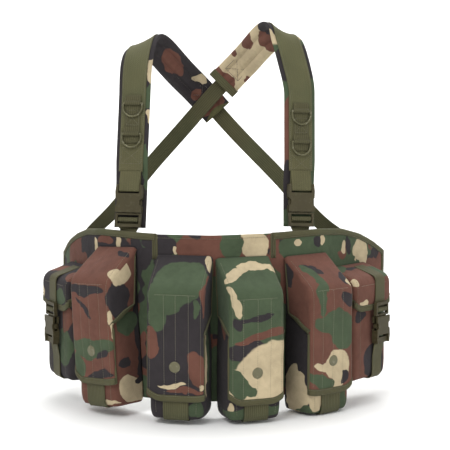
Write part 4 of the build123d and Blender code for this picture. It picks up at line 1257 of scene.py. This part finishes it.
def bar_loop(shape, place, depth, width, *fineness):
    """Webbing round a socket's bar, from a depth at the seam that closes the loop and back."""
    bar = BAR_T / 2 + 0.3 + WEB_T / 2
    near, far, seam = BUCKLE_BAR[0] - 1.2, BUCKLE_BAR[1] + 2.0, LOOP_SEAM + 1
    path = [(seam, depth), (far, bar), (near, bar), (near, -bar), (far, -bar), (seam, -1.8)]
    middle_strap(shape, folded(place, path, *fineness), width)


def pad_rings(sections, near, far):
    """A padded strap's rings: a flat oval with narrow sewn edges, closely divided on the wearer's side."""
    half_width = PAD_W / 2
    edges = half_width - np.array([0.0, 0.5, 1.4, 2.6, 4.2])
    covered = np.concatenate([-edges, np.linspace(-17, 17, 5), edges[::-1]])
    open_side = np.concatenate([edges[1:], np.arange(19.5, -20, -1.5), -edges[:0:-1]])
    across = np.concatenate([covered, open_side])
    side = np.concatenate([-np.ones(len(covered)), np.ones(len(open_side))])
    depth = side * (1 - np.abs(across / half_width) ** 5) ** 0.6
    middle, half = (near + far) / 2, (far - near) / 2
    rings = sections.line[:, None] + sections.x[:, None] * across[None, :, None]
    rings = rings + sections.inward[:, None] * (middle[:, None] + half[:, None] * depth[None])[..., None]
    return rings, tube_map(rings, across, run_length(sections.line)), across, depth


QUILT_LINES = (-8.5, 8.5)
CHANNEL_MIDDLES = (-16.0, 0.0, 16.0)
# How far the sewn lines are drawn in and the channels between them swell, and how wide each of these is
QUILT_PULL, QUILT_SPREAD = 1.9, 1.8
CHANNEL_SWELL, CHANNEL_SPREAD = 1.0, 5.0


def quilted(rings, sections, across, depth):
    """Draws a pad in along its sewn lines on the wearer's side, and swells it between them."""
    pull = np.zeros(len(across))
    for line in QUILT_LINES:
        pull -= QUILT_PULL * np.exp(-((across - line) / QUILT_SPREAD) ** 2)
    for middle in CHANNEL_MIDDLES:
        pull += CHANNEL_SWELL * np.exp(-((across - middle) / CHANNEL_SPREAD) ** 2)
    pull = np.where(depth > 0.1, pull, 0.0)
    from_end = np.minimum(np.arange(len(rings)), np.arange(len(rings))[::-1])
    ends = np.clip(from_end / 3.0, 0.25, 1)
    return rings + sections.inward[:, None] * (pull[None, :, None] * ends[:, None, None])


CLOTH_SETTINGS = {"use_pressure": True, "uniform_pressure_force": 1200.0, "vertex_group_mass": "hold",
                  "quality": 6, "mass": 0.15, "tension_stiffness": 5, "compression_stiffness": 5,
                  "bending_stiffness": 0.1}
CLOTH_FRAMES = 20
CLOTH_CAP = 1.6  # the furthest that Cloth may move a point


def swell(piece, hold):
    """Adds a little fullness with Cloth under pressure. Sewn and covered points stay where they are."""
    group = piece.vertex_groups.new(name="hold")
    for i, weight in enumerate(hold):
        group.add([i], float(weight), "REPLACE")
    before = np.array([v.co for v in piece.data.vertices])
    cloth = piece.modifiers.new("cloth", "CLOTH")
    for key, value in CLOTH_SETTINGS.items():
        setattr(cloth.settings, key, value)
    cloth.settings.effector_weights.gravity = 0.0
    cloth.point_cache.frame_start, cloth.point_cache.frame_end = 1, CLOTH_FRAMES
    scene = bpy.context.scene
    for number in range(1, CLOTH_FRAMES + 1):
        scene.frame_set(number)
    graph = bpy.context.evaluated_depsgraph_get()
    after = np.array([v.co for v in piece.evaluated_get(graph).data.vertices])
    piece.modifiers.remove(cloth)
    piece.vertex_groups.clear()
    move = after - before
    size = np.linalg.norm(move, axis=1, keepdims=True)
    move *= np.minimum(1.0, CLOTH_CAP * MM / np.maximum(size, 1e-9))
    piece.data.vertices.foreach_set("co", (before + move).ravel())
    piece.data.update()
    scene.frame_set(1)


PAD_LOW, BUCKLE_TOP, PAD_FULL_FROM = 128.0, 196.0, 226.0  # heights on the front run
PAD_EDGE_ROW = 3.4  # from a pad's edge to its row of stitches
RING_LOOP_R, RING_STAND = 2.5, 3.9

pad_ends = {}
for hand in ("right", "left"):
    head = FRONT_RUN[hand][1]
    points, across = OVER_SHOULDER[hand]
    top = run_place(hand, head[2])
    end_way = np.array(points[-1], float) - np.array(points[-2], float)
    over = curve([head] + points, [tuple(top.x)] + across, top.y, end_way)
    pad_ends[hand] = over

    mouth = run_place(hand, BUCKLE_MOUTH)
    webbing_run = joined(run_sections(hand, BUCKLE_MOUTH + LOOP_SEAM * mouth.y[2], head[2]), over)
    shape = Shape()
    strap(shape, webbing_run, WIDE_WEB)
    bar_loop(shape, mouth, -0.4, FRONT_BUCKLE_W - 8.6, 2.0, 3.0)
    shape.piece(f"shoulder_webbing_{hand}_strap", MATERIALS["webbing"], "rig", "olive_webbing",
                [f"shoulder_webbing_{hand}"])
    edge_stitches(threads["thread"], webbing_run, WIDE_WEB, 2.2, -0.1, 0.96)
    seam = run_place(hand, RING_AT[hand][0] - 44)
    box_stitches(threads["thread"], seam.at((-15.0, 0.0, 0.1)), seam.x, seam.y, 30, 24, seam.z)

    # The pad is thinner behind the buckle, and stands clear of it
    low_part = run_sections(hand, PAD_LOW, PAD_FULL_FROM)
    pad_run = joined(low_part, run_sections(hand, PAD_FULL_FROM, head[2]), over)
    heights = low_part.line[:, 2]
    near, far = (np.full(len(pad_run.line), depth) for depth in (WEB_T, WEB_T + PAD_T))
    for depths, thin in ((near, 6.6), (far, 11.6)):
        depths[: len(heights)] = np.interp(heights, [BUCKLE_TOP, PAD_FULL_FROM], [thin, depths[-1]])
    rings, uv, pad_across, pad_depth = pad_rings(pad_run, near + 0.15, far)
    shape = Shape()
    loft(shape, quilted(rings, pad_run, pad_across, pad_depth), uv)
    cloth = camo(f"pad_{hand}_print", PAD_PATCHES[hand], 70.0 + len(hand), loose=False)
    pad = shape.piece(f"shoulder_pad_{hand}_cushion", cloth, "rig", "pad_cloth", [f"shoulder_pad_{hand}"])
    fixed = (pad_depth < -0.1) | (np.abs(pad_across) > PAD_W / 2 - 1.5)
    for line in QUILT_LINES:
        fixed |= np.abs(pad_across - line) < 1.6
    hold = np.repeat(fixed[None], len(rings), axis=0)
    hold[:2] = True
    hold[-2:] = True
    swell(pad, hold.ravel())
    # Quilting rows on the wearer's side, a row near each edge, and a box with a cross at the rear end
    edge_row = PAD_W / 2 - PAD_EDGE_ROW
    for line, drop in ((QUILT_LINES[0], 1.7), (QUILT_LINES[1], 1.7), (-edge_row, 0.9), (edge_row, 0.9)):
        stitches(threads["dark_thread"], pad_run.at(line, far - drop)[3:-3], pad_run.inward[3:-3])
    last = len(pad_run.line) - 4
    tip = pad_run.at(0.0, far - 0.2)[last]
    wide, inward = pad_run.x[last], pad_run.inward[last]
    along = unit(pad_run.line[last] - pad_run.line[last - 8])
    corner = tip - wide * 14 - along * 38 + inward * 0.3
    box_stitches(threads["dark_thread"], corner, wide, along, 28, 26, inward, 0.5)

    # A strip sewn down the strap, standing off it in a loop round each D-ring's bar
    places = [run_place(hand, height) for height in RING_AT[hand]]
    gap = RING_AT[hand][1] - RING_AT[hand][0]
    shape = Shape()
    strap(shape, folded(places[0], [(-14.0, 0.6), (gap + 14.0, 0.6)], 3.0), NARROW_WEB, -0.6, 0.6)
    crest = RING_STAND + RING_LOOP_R
    for place in places:
        path = [(11.0, 1.6), (4.0, 2.2), (2.6, 4.4), (0.9, crest), (-1.4, crest - 0.3), (-2.7, RING_STAND),
                (-1.6, 1.9), (2.0, 1.35), (11.0, 1.25)]
        strap(shape, folded(place, path, 0.8, 1.6), NARROW_WEB, -0.45, 0.45)
    shape.piece(f"d_ring_strip_{hand}", MATERIALS["narrow"], "rig", "olive_webbing", [f"d_ring_loops_{hand}"])
    spot = places[0]
    box_stitches(threads["thread"], spot.at((-9.5, 14.0, 1.4)), spot.x, spot.y, 19, 22, spot.z)
    for level in ("lower", "upper"):
        recoat(f"d_ring_{level}_{hand}", MATERIALS["steel"])
        faces = frame["nodes"][f"d_ring_{level}_{hand}"].data.polygons
        faces.foreach_set("use_smooth", [True] * len(faces))

# Webbing from each plug, round its bars and down the inner face of the wrap
for hand, corner_index in (("right", 3), ("left", 7)):
    width = FRONT_BUCKLE_W - 10
    shape = Shape()
    start = run_place(hand, BUCKLE_MOUTH)
    middle_strap(shape, folded(start, LADDER_PATH, 1.2, 1.6), width)
    begin = start.at((0.0, -21.0, LADDER_PATH[0][1]))
    turn = radians(PANEL_FACE[hand])
    face = np.array([cos(turn), sin(turn), 0.0])
    back = np.array([-sin(turn), cos(turn), 0.0])
    depth = (begin[:2] - plan_corners(0.0)[corner_index]) @ back[:2]
    onto = begin + back * (PANEL_T + LINING_T + 2.8 - depth)
    spots = [begin] + [(onto[0], onto[1], height) for height in (119.0, 100.0, 75.0)]
    tail = curve(spots, [tuple(start.x)] + [tuple(face)] * 3, -start.y, (0, 0, -1), 3.0)
    middle_strap(shape, tail, width)
    nodes = ["front_adjuster_webbing"] if hand == "right" else []
    shape.piece(f"front_adjuster_strap_{hand}", MATERIALS["narrow"], "rig", "olive_webbing", nodes)

# Narrow webbing across the back
for hand, (points, across) in BACK_PATHS.items():
    pad_end = pad_ends["left" if hand == "right" else "right"]
    end, x, inward = pad_end.line[-1], pad_end.x[-1], pad_end.inward[-1]
    along = np.cross(x, inward)
    start = end - along * 10 - inward * (WEB_T + 0.7)
    way_out = np.array(points[-1], float) - np.array(points[-2], float)
    run = curve([tuple(start)] + points, [tuple(x)] + across, along, way_out)
    shape = Shape()
    strap(shape, run, NARROW_WEB)
    shape.piece(f"back_webbing_{hand}_strap", MATERIALS["narrow"], "rig", "olive_webbing",
                [f"back_webbing_{hand}"])
    edge_stitches(threads["thread"], run, NARROW_WEB, 1.8, -0.1, 0.05)

# A band round the left pad's rear end
BAND_RING = ((0.5, -12.4), (0.6, -11.6), (0.6, -0.4), (0.5, 0.2), (-0.5, 0.2), (-0.6, -0.4), (-0.6, -11.6),
             (-0.5, -12.4))  # its section, as (outwards, along the pad)
end, x, inward = pad_ends["left"].line[-1], pad_ends["left"].x[-1], pad_ends["left"].inward[-1]
band = Place(end, x, inward, np.cross(x, inward))
half_w, near, far = PAD_W / 2 + 0.9, -WEB_T - 2.0, WEB_T + PAD_T + 1.6
corners = [(0, near), (half_w, near), (half_w, far), (-half_w, far), (-half_w, near), (0, near)]
outline = rounded(corners, 3.0, 2.5)[:-1]
outwards = unit(outline - (0.0, (near + far) / 2))
rings = [band.at(np.column_stack([outline + outwards * offset, np.full(len(outline), height)]))
         for offset, height in BAND_RING]
rings = np.array(rings).transpose(1, 0, 2)
uv = np.zeros((len(rings) + 1, len(BAND_RING), 2))
uv[..., 0], uv[..., 1] = [0, 1, 12, 13, 14, 15, 26, 27], np.arange(len(uv))[:, None] * 2.5
shape = Shape()
loft(shape, rings, uv, closed=True)
shape.piece("crossing_keeper_band", MATERIALS["narrow"], "rig", "olive_webbing", ["crossing_keeper"])

# ---------------------------------------------------------------- waist strap

waist = Place(WAIST_MOUTH, (0, 0, 1), (1, 0, 0), (0, 1, 0))


def wing_spot(corner, before, back):
    """A place on the lining near a wing's rear edge: back millimetres past the middle of the last run."""
    along = unit(corner - before)
    toward = np.array([-along[1], along[0]]) * np.sign(corner[0])
    spot = (corner + before) / 2 + along * back + toward * (PANEL_T + LINING_T + WEB_T + 0.2)
    return (spot[0], spot[1], 0.0), along


plan = plan_corners(0.0)
for hand, side, path, corner, backs in (
    ("left", 1, [(62, 292, 0), (110, 287, 0), (190, 268, 0), (248, 238, 0)], -1, (10, -24)),
    ("right", -1, [(-22, 288.9, 0), (-110, 281, 0), (-180, 262, 0), (-226, 240, 0)], 0, (8, -22)),
):
    ends = [wing_spot(plan[corner], plan[corner - side], back) for back in backs]
    (first_spot, outward), (last_spot, _) = ends
    run = curve(path + [first_spot, last_spot], [(0, 0, 1)] * 6, (side, 0, 0), (-outward[0], -outward[1], 0))
    shape = Shape()
    strap(shape, run, NARROW_WEB, min(0, side * WEB_T), max(0, side * WEB_T))
    if hand == "left":
        bar_loop(shape, waist, 0.4, NARROW_WEB, 1.5, 2.0)
    else:
        middle_strap(shape, folded(waist, LADDER_PATH, 1.5, 2.0), NARROW_WEB)
    shape.piece(f"waist_webbing_{hand}", MATERIALS["narrow"], "rig", "olive_webbing", [f"waist_strap_{hand}"])

for key, shape in threads.items():
    shape.piece(f"harness_{key}_stitching", MATERIALS[key], "rig", "olive_webbing")

# ---------------------------------------------------------------- buckles


MERGE = 0.02  # CAD points closer than this become one
FLAT_ANGLE, SHARP_ANGLE = radians(2), radians(28)


def softened(node, radius_mm, material):
    """A moulded copy of a hard CAD piece, with its sharp edges rounded."""
    mesh = frame["nodes"][node].data.copy()
    mesh.name = f"{node}_moulding"
    build = bmesh.new()
    build.from_mesh(mesh)
    bmesh.ops.remove_doubles(build, verts=build.verts, dist=MERGE * MM)
    bmesh.ops.dissolve_limit(build, angle_limit=FLAT_ANGLE, verts=build.verts, edges=build.edges)
    sharp = [e for e in build.edges if len(e.link_faces) == 2 and e.calc_face_angle(0) > SHARP_ANGLE]
    bmesh.ops.bevel(build, geom=sharp, offset=radius_mm * MM, segments=2, profile=0.6, affect="EDGES",
                    clamp_overlap=True)
    bmesh.ops.remove_doubles(build, verts=build.verts, dist=MERGE / 2 * MM)
    bmesh.ops.recalc_face_normals(build, faces=build.faces)
    settled(build, mesh, f"{node}_moulding", material, BODY_OF[node], [node], smooth=False)


for base in ("front_buckle_right", "front_buckle_left", "side_buckle_right", "side_buckle_left",
             "waist_buckle"):
    for part, radius in (("socket", 0.9), ("plug", 0.6), ("prong_a", 0.4), ("prong_b", 0.4)):
        softened(f"{base}_{part}", radius, MATERIALS["plastic"])

# ---------------------------------------------------------------- floor, light and camera

scene = bpy.context.scene
low, high = CAD_BOX
floor_z = low[2] - 0.001


def studio_floor():
    """A pale floor that curves up into a backdrop far behind."""
    outline = rounded([(-4.0, 0.0), (3.2, 0.0), (3.2, 5.0)], 1.6, 0.2)
    xs = np.linspace(-5.0, 5.0, 9)
    verts = [(x, y, floor_z + z) for y, z in outline for x in xs]
    wide = len(xs)
    faces = [[r * wide + c, r * wide + c + 1, (r + 1) * wide + c + 1, (r + 1) * wide + c]
             for r in range(len(outline) - 1) for c in range(wide - 1)]
    mesh = bpy.data.meshes.new("studio_floor")
    mesh.from_pydata(verts, [], faces)
    mesh.polygons.foreach_set("use_smooth", [True] * len(mesh.polygons))
    floor = bpy.data.objects.new("studio_floor", mesh)
    scene.collection.objects.link(floor)
    finish = Finish("floor_paper", roughness=0.95, specular=0.1)
    fine = finish.noise(finish.solid_map(), 40.0)
    mesh.materials.append(finish.done((0.94, 0.94, 0.93, 1.0), finish.bump(fine, 0.3, 0.1)))


def area_light(name, location, target, size, power):
    """A round light of a size in metres and a power in watts."""
    data = bpy.data.lights.new(name, "AREA")
    data.shape, data.size, data.energy = "DISK", size, power
    light = bpy.data.objects.new(name, data)
    light.location = location
    light.rotation_euler = (Vector(target) - Vector(location)).to_track_quat("-Z", "Y").to_euler()
    scene.collection.objects.link(light)


CAMERA_DISTANCE = 2.0
CAMERA_RISE = radians(6.0)
CAMERA_TARGET = Vector((0.010, 0.0, 0.138))
CAMERA_LENS = 109.6
LIT_SPOT = (0.0, 0.1, 0.1)
SKY_STRENGTH = 0.6

studio_floor()
for light in (("key", (-0.9, -1.9, 2.1), LIT_SPOT, 1.4, 40.0),
              ("fill", (1.8, -1.6, 0.8), LIT_SPOT, 1.8, 13.0),
              ("top", (0.1, 0.6, 2.2), LIT_SPOT, 1.6, 24.0),
              ("backdrop", (0.0, 1.6, 2.6), (0.0, 3.2, 0.7), 2.4, 60.0)):
    area_light(*light)
world = bpy.data.worlds.new("studio")
world.use_nodes = True
world.node_tree.nodes["Background"].inputs[0].default_value = (1.0, 1.0, 1.0, 1.0)
world.node_tree.nodes["Background"].inputs[1].default_value = SKY_STRENGTH
scene.world = world
scene.view_settings.view_transform = "Standard"

camera_data = bpy.data.cameras.new("camera")
camera_data.lens, camera_data.sensor_width = CAMERA_LENS, 36.0
camera = bpy.data.objects.new("camera", camera_data)
camera.location = CAMERA_TARGET + CAMERA_DISTANCE * Vector((0, -cos(CAMERA_RISE), sin(CAMERA_RISE)))
camera.rotation_euler = (CAMERA_TARGET - camera.location).to_track_quat("-Z", "Y").to_euler()
scene.collection.objects.link(camera)
scene.camera = camera
